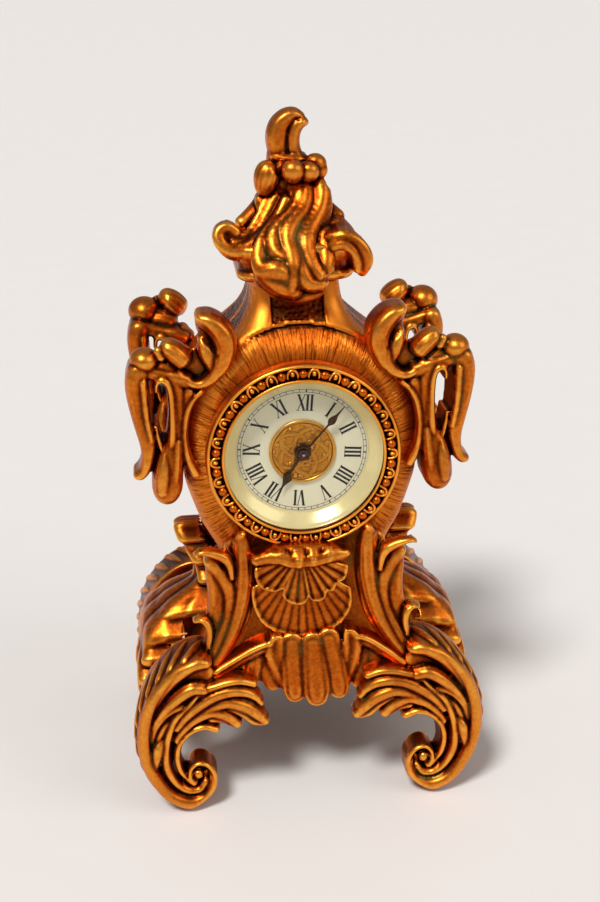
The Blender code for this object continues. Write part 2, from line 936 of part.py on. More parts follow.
# Bezel with its ring of beads, the glass behind its lip and the sight ring behind that.
bezel_back_y = -body_half_depth - joint_gap
bezel_front_y = bezel_back_y - bezel_crown_height
glass_seat_y = bezel_front_y + bezel_crown_height * 0.28
bezel_bore = bezel_lip_radius + drum_wall
bezel_profile = [
    (bezel_outer, bezel_back_y),
    (bezel_outer, bezel_back_y - bezel_crown_height * 0.36),
    (bezel_outer - bezel_lip_thickness, bezel_back_y - bezel_crown_height * 0.48),
    (bezel_crown_radius, bezel_front_y),
    ((bezel_lip_radius + bezel_crown_radius) / 2, bezel_back_y - bezel_crown_height * 0.80),
    (bezel_lip_radius, glass_seat_y - bezel_lip_thickness),
    (bezel_lip_radius, glass_seat_y),
    (bezel_bore, glass_seat_y),
    (bezel_bore, bezel_back_y),
]


def bead(place, step):
    return bead_relief if place == 3 and step % 2 else 0


add_object("bezel", turned_mesh(bezel_profile, ring_steps, dial_centre_point, bead))
glass_radius = bezel_bore - joint_gap
glass_front_y = glass_seat_y + joint_gap
glass_profile = [
    (0, glass_front_y - glass_dome),
    (glass_radius / 2, glass_front_y - glass_dome * 0.75),
    (bezel_lip_radius - joint_gap, glass_front_y - glass_dome * 0.10),
    (glass_radius, glass_front_y),
    (glass_radius, glass_front_y + glass_thickness),
    (0, glass_front_y + glass_thickness - glass_dome * 0.90),
]
add_object("glass", turned_mesh(glass_profile, round_steps, dial_centre_point), (0.9, 0.95, 0.95), 0.05, 0)
sight_front_y = glass_front_y + glass_thickness + joint_gap
sight_back_y = dial_face_y - joint_gap
sight_profile = [
    (dial_radius, sight_front_y),
    (sight_inner, sight_back_y - sight_thickness),
    (sight_inner + sight_thickness, sight_back_y),
    (dial_radius, sight_front_y + sight_thickness),
]
add_object("sight_ring", turned_mesh(sight_profile, round_steps, dial_centre_point), brass_colour, 0.2)

# Dial and its embossed centre.
pipe_bore = cannon_radius + joint_gap
pipe_outer = max(hour_pipe_radius, pipe_bore + joint_gap)
dial_hole = pipe_outer + joint_gap
dial_back_y = dial_face_y + dial_thickness
dial_disc = tube_mesh(dial_radius, dial_hole, dial_face_y, dial_back_y, dial_centre_point, round_steps)
add_object("dial", dial_disc, white_colour, 0.5, 0)
centre_back_y = dial_face_y - joint_gap
centre_front_y = centre_back_y - centre_thickness
centre_profile = [
    (centre_radius, centre_front_y),
    (centre_radius, centre_back_y),
    (dial_hole, centre_back_y),
    (dial_hole, centre_front_y + centre_thickness / 2),
    (centre_radius - centre_thickness * 2, centre_front_y + centre_thickness / 2),
    (centre_radius - centre_thickness, centre_front_y),
]
add_object("dial_centre", turned_mesh(centre_profile, 24, dial_centre_point), brass_colour, 0.35)


# Hands: pierced hub, tapering blade and an ornament. Shares of length and hub radius.
minute_shares = [(0.10, 0.30), (0.52, 0.22), (0.62, 0.80), (0.72, 0.34), (0.94, 0.20), (1.00, 0.05)]
hour_shares = [(0.18, 0.34), (0.52, 0.30), (0.66, 0.95), (0.80, 0.40), (0.93, 0.26), (1.00, 0.05)]


def hand_mesh(shares, length, hub, bore, back_y, turn):
    front_y = back_y - hand_thickness
    blade = []
    right = [(hub * width, length * along) for along, width in shares]
    outline = right + [(-x, z) for x, z in reversed(right)]
    for y in (front_y, back_y):
        ring = []
        for x, z in outline:
            across = x * math.cos(turn) + z * math.sin(turn)
            up = z * math.cos(turn) - x * math.sin(turn)
            ring.append((across, y, dial_height + up))
        blade.append(ring)
    disc = rod_mesh(hub, front_y, back_y, dial_centre_point, 12)
    hole = rod_mesh(bore, front_y - overrun, back_y + overrun, dial_centre_point, 9)
    return cut(fused(loop_mesh(blade), [disc]), [hole])


hour_hand_y = centre_front_y - joint_gap
minute_hand_y = hour_hand_y - hand_thickness - hand_spacing * 0.7
hour_bore = pipe_outer + joint_gap
minute_bore = cannon_radius + joint_gap
add_object(
    "hour_hand",
    hand_mesh(hour_shares, hour_length, hour_hub, hour_bore, hour_hand_y, hour_angle),
    blued_colour,
)
add_object(
    "minute_hand",
    hand_mesh(minute_shares, minute_length, minute_hub, minute_bore, minute_hand_y, minute_angle),
    blued_colour,
)
nut_back_y = minute_hand_y - hand_thickness - joint_gap
nut_front_y = nut_back_y - nut_thickness
arbor_bore = arbor_radius + pivot_gap
nut_ring = tube_mesh(nut_radius, arbor_bore, nut_front_y, nut_back_y, dial_centre_point, 12)
add_object("hand_nut", nut_ring, brass_colour)

# Drum and its back cover.
drum_bore = drum_outer - drum_wall
cover_back_y = drum_back_y - drum_wall
cover_front_y = cover_back_y - cover_thickness
drum_tube = tube_mesh(drum_outer, drum_bore, drum_front_y, drum_back_y, dial_centre_point, round_steps)
add_object("drum", drum_tube, brass_colour, 0.35)

# Places of the arbors, from the dial axis.
great_distance = great_module * (wheel_teeth + pinion_leaves) / 2
third_distance = centre_module * (wheel_teeth + pinion_leaves) / 2
fourth_distance = third_module * (wheel_teeth + pinion_leaves) / 2
escape_distance = fourth_module * (wheel_teeth + pinion_leaves) / 2
minute_distance = cannon_module * (cannon_leaves + minute_teeth) / 2
hour_module = 2 * minute_distance / (hour_leaves + hour_teeth)
third_turn = math.radians(29)
fourth_turn = math.radians(120)
escape_turn = math.radians(190)
pallet_turn = math.radians(214)
balance_turn = math.radians(211)
minute_turn = math.radians(-30)
great_turn = math.radians(-90)


def from_arbor(start, distance, turn):
    return start + Vector((distance * math.cos(turn), 0, distance * math.sin(turn)))


great_place = from_arbor(dial_centre_point, great_distance, great_turn)
third_place = from_arbor(dial_centre_point, third_distance, third_turn)
fourth_place = from_arbor(third_place, fourth_distance, fourth_turn)
escape_place = from_arbor(fourth_place, escape_distance, escape_turn)
pallet_place = from_arbor(escape_place, pallet_distance, pallet_turn)
balance_place = from_arbor(pallet_place, balance_distance, balance_turn)
minute_place = from_arbor(dial_centre_point, minute_distance, minute_turn)

plate_inner_y = front_plate_y + plate_thickness
back_plate_y = plate_inner_y + plate_spacing
level_shares = {
    "centre": 0.12,
    "third": 0.28,
    "fourth": 0.44,
    "escape": 0.60,
    "balance": 0.74,
    "hairspring": 0.84,
    "spring": 0.32,
    "great": 0.72,
    "ratchet": 0.78,
}


def level(name):
    return plate_inner_y + plate_spacing * level_shares[name]


def plate(start, middle, holes, studs):
    disc = tube_mesh(plate_radius, middle, start, start + plate_thickness, dial_centre_point, round_steps)
    cutters = [
        rod_mesh(radius, start - overrun, start + plate_thickness + overrun, place, 6, 0.37)
        for place, radius in holes
    ]
    made = cut(disc, cutters)
    return fused(made, studs) if studs else made


pivots = [third_place, fourth_place, escape_place, pallet_place, balance_place]
pivot_holes = [(place, arbor_bore) for place in pivots]
winding_bore = winding_radius + pivot_gap
pivot_holes.append((great_place, winding_bore))
hour_wheel_front_y = dial_back_y + joint_gap * 2
hour_wheel_back_y = hour_wheel_front_y + wheel_thickness
minute_wheel_front_y = hour_wheel_back_y + joint_gap * 1.5
minute_wheel_back_y = minute_wheel_front_y + wheel_thickness
stud = rod_mesh(arbor_radius, hour_wheel_front_y, plate_inner_y - overrun / 8, minute_place, 8)
front_plate_mesh = plate(front_plate_y, cannon_radius + joint_gap, pivot_holes, [stud])
add_object("front_plate", front_plate_mesh, brass_colour, 0.3)
add_object("back_plate", plate(back_plate_y, arbor_bore, pivot_holes, []), brass_colour, 0.3)
pillar_ring = plate_radius - pillar_radius * 3.4
for name, turn in (("pillar_a", -12), ("pillar_b", 116), ("pillar_c", 212)):
    place = from_arbor(dial_centre_point, pillar_ring, math.radians(turn))
    start = plate_inner_y + joint_gap
    rod = rod_mesh(pillar_radius, start, back_plate_y - joint_gap, place, 10)
    add_object(name, rod, brass_colour, 0.3)

lever_post = lever_width / 2
cover_holes = [
    (great_place, winding_bore),
    (balance_place, lever_post + pivot_gap),
]
cover_radius = drum_bore - joint_gap * 1.4
cover_disc = tube_mesh(cover_radius, arbor_bore, cover_front_y, cover_back_y, dial_centre_point, round_steps)
cover_cutters = [
    rod_mesh(radius, cover_front_y - overrun, cover_back_y + overrun, place, 8, 0.37)
    for place, radius in cover_holes
]
add_object("drum_cover", cut(cover_disc, cover_cutters), brass_colour, 0.35)

# Arbors run in both plates and stop just past them.
pivot_front_y = front_plate_y + plate_thickness / 4
pivot_back_y = back_plate_y + plate_thickness


def arbor(place, wheel_level, module, pinion_level, pinion_module, wheel_phase, pinion_phase):
    rod = rod_mesh(arbor_radius, pivot_front_y, pivot_back_y, place, 8)
    start = level(wheel_level)
    wheel = wheel_mesh(wheel_teeth, module, start, start + wheel_thickness, place, wheel_phase)
    middle = level(pinion_level) + wheel_thickness / 2
    low = middle - pinion_length / 2
    pinion = wheel_mesh(pinion_leaves, pinion_module, low, low + pinion_length, place, pinion_phase, 0.22)
    return fused(rod, [wheel, pinion])


def gap_phase(turn, leaves):
    return turn + math.pi + math.pi / leaves


third_phase = gap_phase(third_turn, pinion_leaves)
third_mesh = arbor(third_place, "third", third_module, "centre", centre_module, fourth_turn, third_phase)
add_object("third_wheel", third_mesh, brass_colour)
fourth_phase = gap_phase(fourth_turn, pinion_leaves)
fourth_mesh = arbor(fourth_place, "fourth", fourth_module, "third", third_module, escape_turn, fourth_phase)
add_object("fourth_wheel", fourth_mesh, brass_colour)


def star_mesh(teeth, tip, root, start, end, centre, lean):
    outline = []
    for tooth in range(teeth):
        turn = math.tau * tooth / teeth
        for angle, radius in ((turn, tip), (turn + math.tau / teeth * lean, root)):
            outline.append((centre.x + radius * math.cos(angle), centre.z + radius * math.sin(angle)))
    return loop_mesh([[(x, depth, z) for x, z in outline] for depth in (start, end)])


escape_start = level("escape")
escape_rod = rod_mesh(arbor_radius, pivot_front_y, pivot_back_y, escape_place, 8)
escape_low = level("fourth") + wheel_thickness / 2 - pinion_length / 2
escape_parts = [
    star_mesh(
        escape_teeth,
        escape_radius,
        escape_radius * 0.76,
        escape_start,
        escape_start + wheel_thickness,
        escape_place,
        0.2,
    ),
    wheel_mesh(
        pinion_leaves,
        fourth_module,
        escape_low,
        escape_low + pinion_length,
        escape_place,
        gap_phase(escape_turn, pinion_leaves),
        0.22,
    ),
]
add_object("escape_wheel", fused(escape_rod, escape_parts), brass_colour)

# Pallet lever: two arms that straddle the escape wheel and a fork at the balance.
# Shares of the distance from its arbor to the escape wheel and to the balance.
pallet_shares = [
    (0.230, 0.00),
    (0.272, 0.228),
    (0.368, 0.430),
    (0.440, 0.545),
    (0.300, 0.580),
    (0.120, 0.333),
    (-0.105, 0.140),
    (-0.980, 0.090),
    (-1.155, 0.190),
    (-1.155, 0.090),
    (-1.050, 0.00),
]


def extruded(outline, start, end):
    return loop_mesh([[(x, depth, z) for x, z in outline] for depth in (start, end)])


def placed_outline(shares, size, centre, turn, mirrored=True):
    points = [(x * size, z * size) for x, z in shares]
    if mirrored:
        points += [(x, -z) for x, z in reversed(points) if z != 0]
    return [
        (
            centre.x + x * math.cos(turn) - z * math.sin(turn),
            centre.z + x * math.sin(turn) + z * math.cos(turn),
        )
        for x, z in points
    ]


lever_outline = placed_outline(pallet_shares, pallet_distance, pallet_place, pallet_turn + math.pi)
lever_plate = extruded(lever_outline, escape_start, escape_start + wheel_thickness)
lever_rod = rod_mesh(arbor_radius, pivot_front_y, pivot_back_y, pallet_place, 8)
add_object("pallet_lever", fused(lever_rod, [lever_plate]), steel_colour)

# Balance: rim, two arms and a staff with its roller.
balance_start = level("balance")
rim = tube_mesh(
    balance_radius,
    balance_radius - balance_rim,
    balance_start,
    balance_start + wheel_thickness,
    balance_place,
    16,
)
half_arm = balance_rim / 2
arm = box_mesh(
    (
        balance_place.x - balance_radius + half_arm,
        balance_start + wheel_thickness / 8,
        balance_place.z - half_arm,
    ),
    (
        balance_place.x + balance_radius - half_arm,
        balance_start + wheel_thickness * 7 / 8,
        balance_place.z + half_arm,
    ),
)
staff = rod_mesh(arbor_radius, pivot_front_y, pivot_back_y, balance_place, 8)
roller = rod_mesh(balance_rim, escape_start, escape_start + wheel_thickness, balance_place, 10)
add_object("balance_wheel", fused(rim, [arm, staff, roller]), brass_colour)


# Flat spiral spring of square section, wound out from its arbor.
def spiral_mesh(inner, outer, turns, per_turn, thickness, start, width, centre):
    rings = []
    steps = turns * per_turn
    for step in range(steps + 1):
        turn = math.tau * step / per_turn
        radius = inner + (outer - inner) * step / steps
        ring = []
        for reach, depth in ((0, start), (thickness, start), (thickness, start + width), (0, start + width)):
            ring.append(
                (
                    centre.x + (radius + reach) * math.cos(turn),
                    depth,
                    centre.z + (radius + reach) * math.sin(turn),
                )
            )
        rings.append(ring)
    return loop_mesh(rings)


spring_form = spiral_mesh(
    winding_radius + joint_gap,
    spring_outer,
    spring_turns,
    12,
    spring_thickness,
    level("spring"),
    spring_width,
    great_place,
)
add_object("mainspring", spring_form, steel_colour)
hairspring_form = spiral_mesh(
    arbor_radius + joint_gap,
    balance_radius * 0.7,
    3,
    8,
    spring_thickness / 2,
    level("hairspring"),
    spring_thickness,
    balance_place,
)
add_object("hairspring", hairspring_form, steel_colour)

# Winding arbor with ratchet wheel, the great wheel that runs on it and its click.
key_back_y = cover_back_y + joint_gap
key_wing_y = key_back_y + key_length * 0.72
winding_end_y = key_wing_y
arbor_rod = rod_mesh(winding_radius, pivot_front_y, winding_end_y - joint_gap, great_place, 12)
add_object("winding_arbor", arbor_rod, steel_colour)
great_start = level("great")
great_blank = wheel_mesh(
    wheel_teeth, great_module, great_start, great_start + wheel_thickness, great_place, math.pi / 2
)
great_hole = rod_mesh(
    winding_bore, great_start - overrun, great_start + wheel_thickness + overrun, great_place, 12
)
add_object("great_wheel", cut(great_blank, [great_hole]), brass_colour)
ratchet_start = great_start + wheel_thickness + joint_gap
ratchet_end = ratchet_start + wheel_thickness
ratchet_blank = star_mesh(
    ratchet_teeth, ratchet_radius, ratchet_radius * 0.84, ratchet_start, ratchet_end, great_place, 0.15
)
ratchet_hole = rod_mesh(winding_bore, ratchet_start - overrun, ratchet_end + overrun, great_place, 12)
add_object("ratchet_wheel", cut(ratchet_blank, [ratchet_hole]), steel_colour)
click_pivot = from_arbor(great_place, ratchet_radius * 1.75, math.radians(180))
click_shares = [
    (0.20, -0.16),
    (0.20, 0.20),
    (-0.10, 0.34),
    (-0.72, 0.58),
    (-0.76, 0.47),
    (-0.30, 0.10),
    (-0.16, -0.16),
]
click_outline = placed_outline(click_shares, ratchet_radius, click_pivot, math.pi, False)
add_object("click", extruded(click_outline, ratchet_start, ratchet_end), steel_colour)

# Centre arbor with its pinion, the centre wheel, cannon pinion, minute and hour wheels.
set_end_y = cover_back_y + joint_gap + knob_length
centre_rod = rod_mesh(arbor_radius, nut_front_y - joint_gap, set_end_y - joint_gap, dial_centre_point, 8)
centre_low = great_start + wheel_thickness / 2 - pinion_length / 2
centre_pinion = wheel_mesh(
    pinion_leaves,
    great_module,
    centre_low,
    centre_low + pinion_length,
    dial_centre_point,
    great_turn + math.pi / pinion_leaves,
    0.22,
)
add_object("centre_arbor", fused(centre_rod, [centre_pinion]), steel_colour)
centre_start = level("centre")
centre_blank = wheel_mesh(
    wheel_teeth, centre_module, centre_start, centre_start + wheel_thickness, dial_centre_point, third_turn
)
centre_bore = rod_mesh(
    arbor_bore, centre_start - overrun, centre_start + wheel_thickness + overrun, dial_centre_point, 8
)
add_object("centre_wheel", cut(centre_blank, [centre_bore]), brass_colour)

cannon_back_y = plate_inner_y - joint_gap
cannon_front_y = minute_hand_y - hand_thickness - joint_gap / 2
cannon_rod = rod_mesh(cannon_radius, cannon_front_y, cannon_back_y, dial_centre_point, 12)
cannon_gear = wheel_mesh(
    cannon_leaves,
    cannon_module,
    minute_wheel_front_y,
    minute_wheel_back_y,
    dial_centre_point,
    minute_turn + math.pi / cannon_leaves,
    0.22,
)
cannon_hole = rod_mesh(arbor_bore, cannon_front_y - overrun, cannon_back_y + overrun, dial_centre_point, 8)
add_object("cannon_pinion", cut(fused(cannon_rod, [cannon_gear]), [cannon_hole]), steel_colour)

minute_gear = wheel_mesh(
    minute_teeth,
    cannon_module,
    minute_wheel_front_y,
    minute_wheel_back_y,
    minute_place,
    minute_turn + math.pi,
)
minute_pinion = wheel_mesh(
    hour_leaves,
    hour_module,
    hour_wheel_front_y,
    minute_wheel_front_y + wheel_thickness / 4,
    minute_place,
    minute_turn + math.pi,
    0.22,
)
minute_hole = rod_mesh(
    arbor_bore, hour_wheel_front_y - overrun, minute_wheel_back_y + overrun, minute_place, 8
)
add_object("minute_wheel", cut(fused(minute_gear, [minute_pinion]), [minute_hole]), brass_colour)

hour_gear = wheel_mesh(
    hour_teeth,
    hour_module,
    hour_wheel_front_y,
    hour_wheel_back_y,
    dial_centre_point,
    minute_turn + math.pi / hour_teeth,
)
pipe_front_y = hour_hand_y - hand_thickness - joint_gap / 2
pipe = rod_mesh(pipe_outer, pipe_front_y, hour_wheel_back_y - joint_gap, dial_centre_point, 12)
pipe_hole = rod_mesh(pipe_bore, pipe_front_y - overrun, hour_wheel_back_y + overrun, dial_centre_point, 12)
add_object("hour_wheel", cut(fused(hour_gear, [pipe]), [pipe_hole]), brass_colour)

# Controls at the back: winding key, setting knob and regulator lever.
shank = rod_mesh(key_shank_radius, key_back_y, key_wing_y + joint_gap * 2, great_place, 14)
wing_shares = [
    (0.12, 0.00),
    (0.50, 0.18),
    (0.50, 0.82),
    (0.30, 1.00),
    (0.08, 0.70),
    (-0.08, 0.70),
    (-0.30, 1.00),
    (-0.50, 0.82),
    (-0.50, 0.18),
    (-0.12, 0.00),
]
wing_rings = []
for edge in (-1, 1):
    wing_rings.append(
        [
            (
                great_place.x + across * key_wing_span,
                key_wing_y + up * key_wing_height,
                great_place.z + edge * key_shank_radius * 0.35,
            )
            for across, up in wing_shares
        ]
    )
key_bore = rod_mesh(winding_bore, key_back_y - overrun, winding_end_y, great_place, 12)
add_object("winding_key", cut(fused(shank, [loop_mesh(wing_rings)]), [key_bore]), brass_colour, 0.3)


knob_start = cover_back_y + joint_gap
knob_profile = [
    (knob_radius * 0.55, knob_start),
    (knob_radius * 0.55, knob_start + knob_length * 0.35),
    (knob_radius, knob_start + knob_length * 0.45),
    (knob_radius, knob_start + knob_length * 0.9),
    (knob_radius * 0.85, knob_start + knob_length),
    (arbor_bore, knob_start + knob_length),
    (arbor_bore, knob_start),
]
add_object("set_knob", turned_mesh(knob_profile, 14, dial_centre_point), brass_colour, 0.3)

lever_back_y = cover_back_y + joint_gap + lever_width / 2
lever_shares = [(-0.16, 0.12), (0.10, 0.14), (0.80, 0.06), (0.88, 0.12), (1.00, 0.02)]
lever_plan = placed_outline(lever_shares, lever_length, balance_place, math.pi / 2)
lever_arm = extruded(lever_plan, cover_back_y + joint_gap, lever_back_y)
post_front_y = back_plate_y + plate_thickness + joint_gap
post = rod_mesh(lever_post, post_front_y, lever_back_y - joint_gap, balance_place, 10)
add_object("regulator_lever", fused(lever_arm, [post]), steel_colour)

# Each moving piece has its origin on the axis it turns about.
turning = {
    "centre_arbor": dial_centre_point,
    "centre_wheel": dial_centre_point,
    "cannon_pinion": dial_centre_point,
    "minute_hand": dial_centre_point,
    "hand_nut": dial_centre_point,
    "set_knob": dial_centre_point,
    "hour_wheel": dial_centre_point,
    "hour_hand": dial_centre_point,
    "minute_wheel": minute_place,
    "great_wheel": great_place,
    "winding_arbor": great_place,
    "ratchet_wheel": great_place,
    "winding_key": great_place,
    "click": click_pivot,
    "third_wheel": third_place,
    "fourth_wheel": fourth_place,
    "escape_wheel": escape_place,
    "pallet_lever": pallet_place,
    "balance_wheel": balance_place,
    "regulator_lever": balance_place,
}
for name, place in turning.items():
    obj = bpy.data.objects[name]
    obj.data.transform(Matrix.Translation(-place))
    obj.location = place

for obj in bpy.data.objects:
    if obj.type == "MESH":
        obj.data.set_sharp_from_angle(angle=math.radians(40))
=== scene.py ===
import json
import math

import bmesh
import bpy
import numpy as np
from mathutils import Matrix, Vector, kdtree


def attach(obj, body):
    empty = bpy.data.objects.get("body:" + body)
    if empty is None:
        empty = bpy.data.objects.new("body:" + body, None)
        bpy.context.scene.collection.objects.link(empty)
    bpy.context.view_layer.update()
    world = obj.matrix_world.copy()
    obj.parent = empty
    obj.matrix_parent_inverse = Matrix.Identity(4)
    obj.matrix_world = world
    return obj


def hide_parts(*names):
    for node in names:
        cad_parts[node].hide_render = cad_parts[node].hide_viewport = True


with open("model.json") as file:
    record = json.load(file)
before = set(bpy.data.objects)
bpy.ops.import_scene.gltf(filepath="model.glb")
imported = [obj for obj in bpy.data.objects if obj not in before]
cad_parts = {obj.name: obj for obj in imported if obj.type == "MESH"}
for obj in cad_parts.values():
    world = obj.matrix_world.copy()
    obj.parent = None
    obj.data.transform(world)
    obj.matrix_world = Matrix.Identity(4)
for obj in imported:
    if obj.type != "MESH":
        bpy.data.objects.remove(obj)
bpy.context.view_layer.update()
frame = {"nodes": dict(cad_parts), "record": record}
scene = bpy.context.scene
scene.view_settings.view_transform = "Standard"
mm = 0.001
tiny = 1e-9  # keeps a length from being zero

# The camera stands where the photograph was taken from. Angles in degrees, lengths in mm.
view = {
    "azimuth": -6.031, "elevation": 21.829, "roll": -0.846, "distance": 433.065,
    "target": (1.892, 0.0, 113.201), "focalPixels": 1258.22, "frame": (600, 902), "clipStart": 0.01,
}


def viewAxes():
    turn = math.radians(view["azimuth"])
    rise = math.radians(view["elevation"])
    lean = math.radians(view["roll"])
    back = Vector((math.sin(turn) * math.cos(rise), -math.cos(turn) * math.cos(rise), math.sin(rise)))
    flatRight = (-back).cross(Vector((0, 0, 1))).normalized()
    flatUp = flatRight.cross(-back)
    right = math.cos(lean) * flatRight + math.sin(lean) * flatUp
    up = math.cos(lean) * flatUp - math.sin(lean) * flatRight
    return right, up, back


def placeCamera():
    right, up, back = viewAxes()
    eye = Vector(view["target"]) + back * view["distance"]
    lens = bpy.data.cameras.new("photoView")
    lens.lens = view["focalPixels"] / view["frame"][1] * lens.sensor_width
    lens.clip_start = view["clipStart"]
    camera = bpy.data.objects.new("photoView", lens)
    turned = Matrix((right, up, back)).transposed().to_4x4()
    camera.matrix_world = Matrix.Translation(eye * mm) @ turned
    scene.collection.objects.link(camera)
    scene.camera = camera
    print("camera placed")


# A pixel of the photograph on the upright plane that lies at this depth, in mm.
def onPlane(px, py, depth):
    right, up, back = viewAxes()
    eye = Vector(view["target"]) + back * view["distance"]
    halfWide, halfHigh = view["frame"][0] / 2, view["frame"][1] / 2
    ray = -back + right * (px - halfWide) / view["focalPixels"] - up * (py - halfHigh) / view["focalPixels"]
    return eye + ray * (depth - eye.y) / ray.y


# Close views used for tracing: left and top pixel, and enlargement.
closeViews = {
    "finial": (200, 90, 6.815),
    "leftHandle": (120, 270, 6.533),
    "leg": (110, 500, 4.9),
    "shell": (220, 520, 8.25),
}


# Traced rows are x, y in a close view, half width in mm and lift towards the front in mm.
def traced(viewName, rows, depth):
    left, top, scale = closeViews[viewName]
    made = []
    for x, y, half, lift in rows:
        point = onPlane(left + x / scale, top + y / scale, depth - lift)
        made.append((point.x, point.y, point.z, half))
    return made


# A smooth curve through the rows, with points about this far apart.
def smoothRows(rows, spacing=0.5):
    rows = np.array(rows, float)
    padded = np.vstack([2 * rows[0] - rows[1], rows, 2 * rows[-1] - rows[-2]])
    made = []
    for i in range(1, len(padded) - 2):
        a, b, c, d = padded[i - 1], padded[i], padded[i + 1], padded[i + 2]
        steps = max(2, int(np.linalg.norm(c[:3] - b[:3]) / spacing))
        slope, bend, twist = c - a, 2 * a - 5 * b + 4 * c - d, 3 * b - a - 3 * c + d
        for t in np.arange(steps) / steps:
            made.append(0.5 * (2 * b + slope * t + bend * t**2 + twist * t**3))
    made.append(padded[-2])
    return np.array(made)


# A smooth step from 0 to 1 between two values.
def stepUp(value, low, high):
    t = np.clip((value - low) / (high - low), 0, 1)
    return t * t * (3 - 2 * t)


# Faces between rings of points, each ring closed on itself.
def ringFaces(rows, around):
    faces = []
    for row in range(rows - 1):
        low, high = row * around, (row + 1) * around
        for k in range(around):
            n = (k + 1) % around
            faces.append((low + k, low + n, high + n, high + k))
    return faces


strandEnds = {"thinnest": 0.12, "shortest": 0.1, "tip": 0.02}


# A soft strand of clay along traced rows: round ends, flattened or crested section.
def strand(rows, deep=1.0, crest=0.0, around=14):
    path = smoothRows(rows)
    points, half = path[:, :3], np.maximum(path[:, 3], strandEnds["thinnest"])
    lengths = np.concatenate([[0], np.cumsum(np.linalg.norm(np.diff(points, axis=0), axis=1))])
    for end, distance in ((0, lengths), (-1, lengths[-1] - lengths)):
        share = np.clip(distance / max(half[end], strandEnds["shortest"]), 0, 1)
        half = half * np.sqrt(np.maximum(1 - (1 - share) ** 2, strandEnds["tip"]))
    run = np.gradient(points, axis=0)
    run /= np.linalg.norm(run, axis=1)[:, None] + tiny
    outward = np.array([0.0, -1.0, 0.0])
    across = np.cross(run, outward)
    across /= np.linalg.norm(across, axis=1)[:, None] + tiny
    front = np.cross(across, run)
    turns = np.arange(around) / around * math.tau
    c, s = np.cos(turns)[:, None], np.sin(turns)
    rise = (s * deep * (1 + crest * np.maximum(s, 0) ** 3))[:, None]
    rings = [points[row] + half[row] * (c * across[row] + rise * front[row]) for row in range(len(points))]
    count = len(rings)
    faces = ringFaces(count, around)
    first, last = count * around, count * around + 1
    for k in range(around):
        n = (k + 1) % around
        faces.append((first, n, k))
        faces.append((last, (count - 1) * around + k, (count - 1) * around + n))
    return np.vstack(rings + [points[:1], points[-1:]]), faces


def ball(centre, radii, around=36):
    verts = []
    for row in range(around // 2 + 1):
        tilt = math.pi * row / (around // 2)
        for k in range(around):
            turn = math.tau * k / around
            verts.append((
                centre[0] + radii[0] * math.sin(tilt) * math.cos(turn),
                centre[1] + radii[1] * math.sin(tilt) * math.sin(turn),
                centre[2] + radii[2] * math.cos(tilt),
            ))
    return np.array(verts), [(a, d, c, b) for a, b, c, d in ringFaces(around // 2 + 1, around)]


# Carved relief: strokes are laid on a fine grid and the highest wins.
# Each stroke is (rows, bulge, flutes): bulge is the height of its crown per mm of half width.
carving = {"spacing": 0.8, "unset": -1000.0, "uncovered": -10.0, "fluteShare": 0.16, "leastThick": 0.5}


# Lays the strokes: grid places, height of the top, and how far inside the outline each place is.
def strokeField(lines, step):
    every = np.vstack([line for line, _, _ in lines])
    margin = every[:, 3].max() + 3 * step
    low = every[:, [0, 2]].min(0) - margin
    size = np.ceil((every[:, [0, 2]].max(0) + margin - low) / step).astype(int) + 1
    xs, zs = low[0] + np.arange(size[0]) * step, low[1] + np.arange(size[1]) * step
    top = np.full((size[1], size[0]), carving["unset"])
    cover = np.full((size[1], size[0]), carving["uncovered"])
    for line, bulge, flutes in lines:
        for a, b in zip(line[:-1], line[1:]):
            reach = max(a[3], b[3]) + 2.5 * step
            left, right = np.searchsorted(xs, [min(a[0], b[0]) - reach, max(a[0], b[0]) + reach])
            floor, roof = np.searchsorted(zs, [min(a[2], b[2]) - reach, max(a[2], b[2]) + reach])
            gx, gz = xs[left:right][None, :], zs[floor:roof][:, None]
            ux, uz = b[0] - a[0], b[2] - a[2]
            length = math.hypot(ux, uz) + tiny
            along = np.clip(((gx - a[0]) * ux + (gz - a[2]) * uz) / length**2, 0, 1)
            ox, oz = gx - a[0] - along * ux, gz - a[2] - along * uz
            far = np.hypot(ox, oz)
            half = a[3] + (b[3] - a[3]) * along
            t = np.minimum(far / half, 1)
            height = -(a[1] + (b[1] - a[1]) * along) + bulge * half * np.sqrt(1 - t * t)
            if flutes:
                signed = np.where(ox * uz - oz * ux > 0, t, -t)
                groove = np.abs(np.cos(signed * math.pi * flutes / 2)) ** 6
                height = height - carving["fluteShare"] * half * groove * (1 - t**4)
            spot = (slice(floor, roof), slice(left, right))
            held = (half - far) > -2 * step
            top[spot] = np.where(held, np.maximum(top[spot], height), top[spot])
            cover[spot] = np.maximum(cover[spot], half - far)
    return xs, zs, top, cover


def softened(top, known, passes):
    for turn in range(passes):
        total, weight = np.zeros_like(top), np.zeros_like(top)
        for dz, dx, share in ((0, 0, 4), (1, 0, 1), (-1, 0, 1), (0, 1, 1), (0, -1, 1)):
            total += share * np.roll(np.where(known, top, 0), (dz, dx), (0, 1))
            weight += share * np.roll(known, (dz, dx), (0, 1))
        top = np.where(known, total / np.maximum(weight, 1), top)
    return top


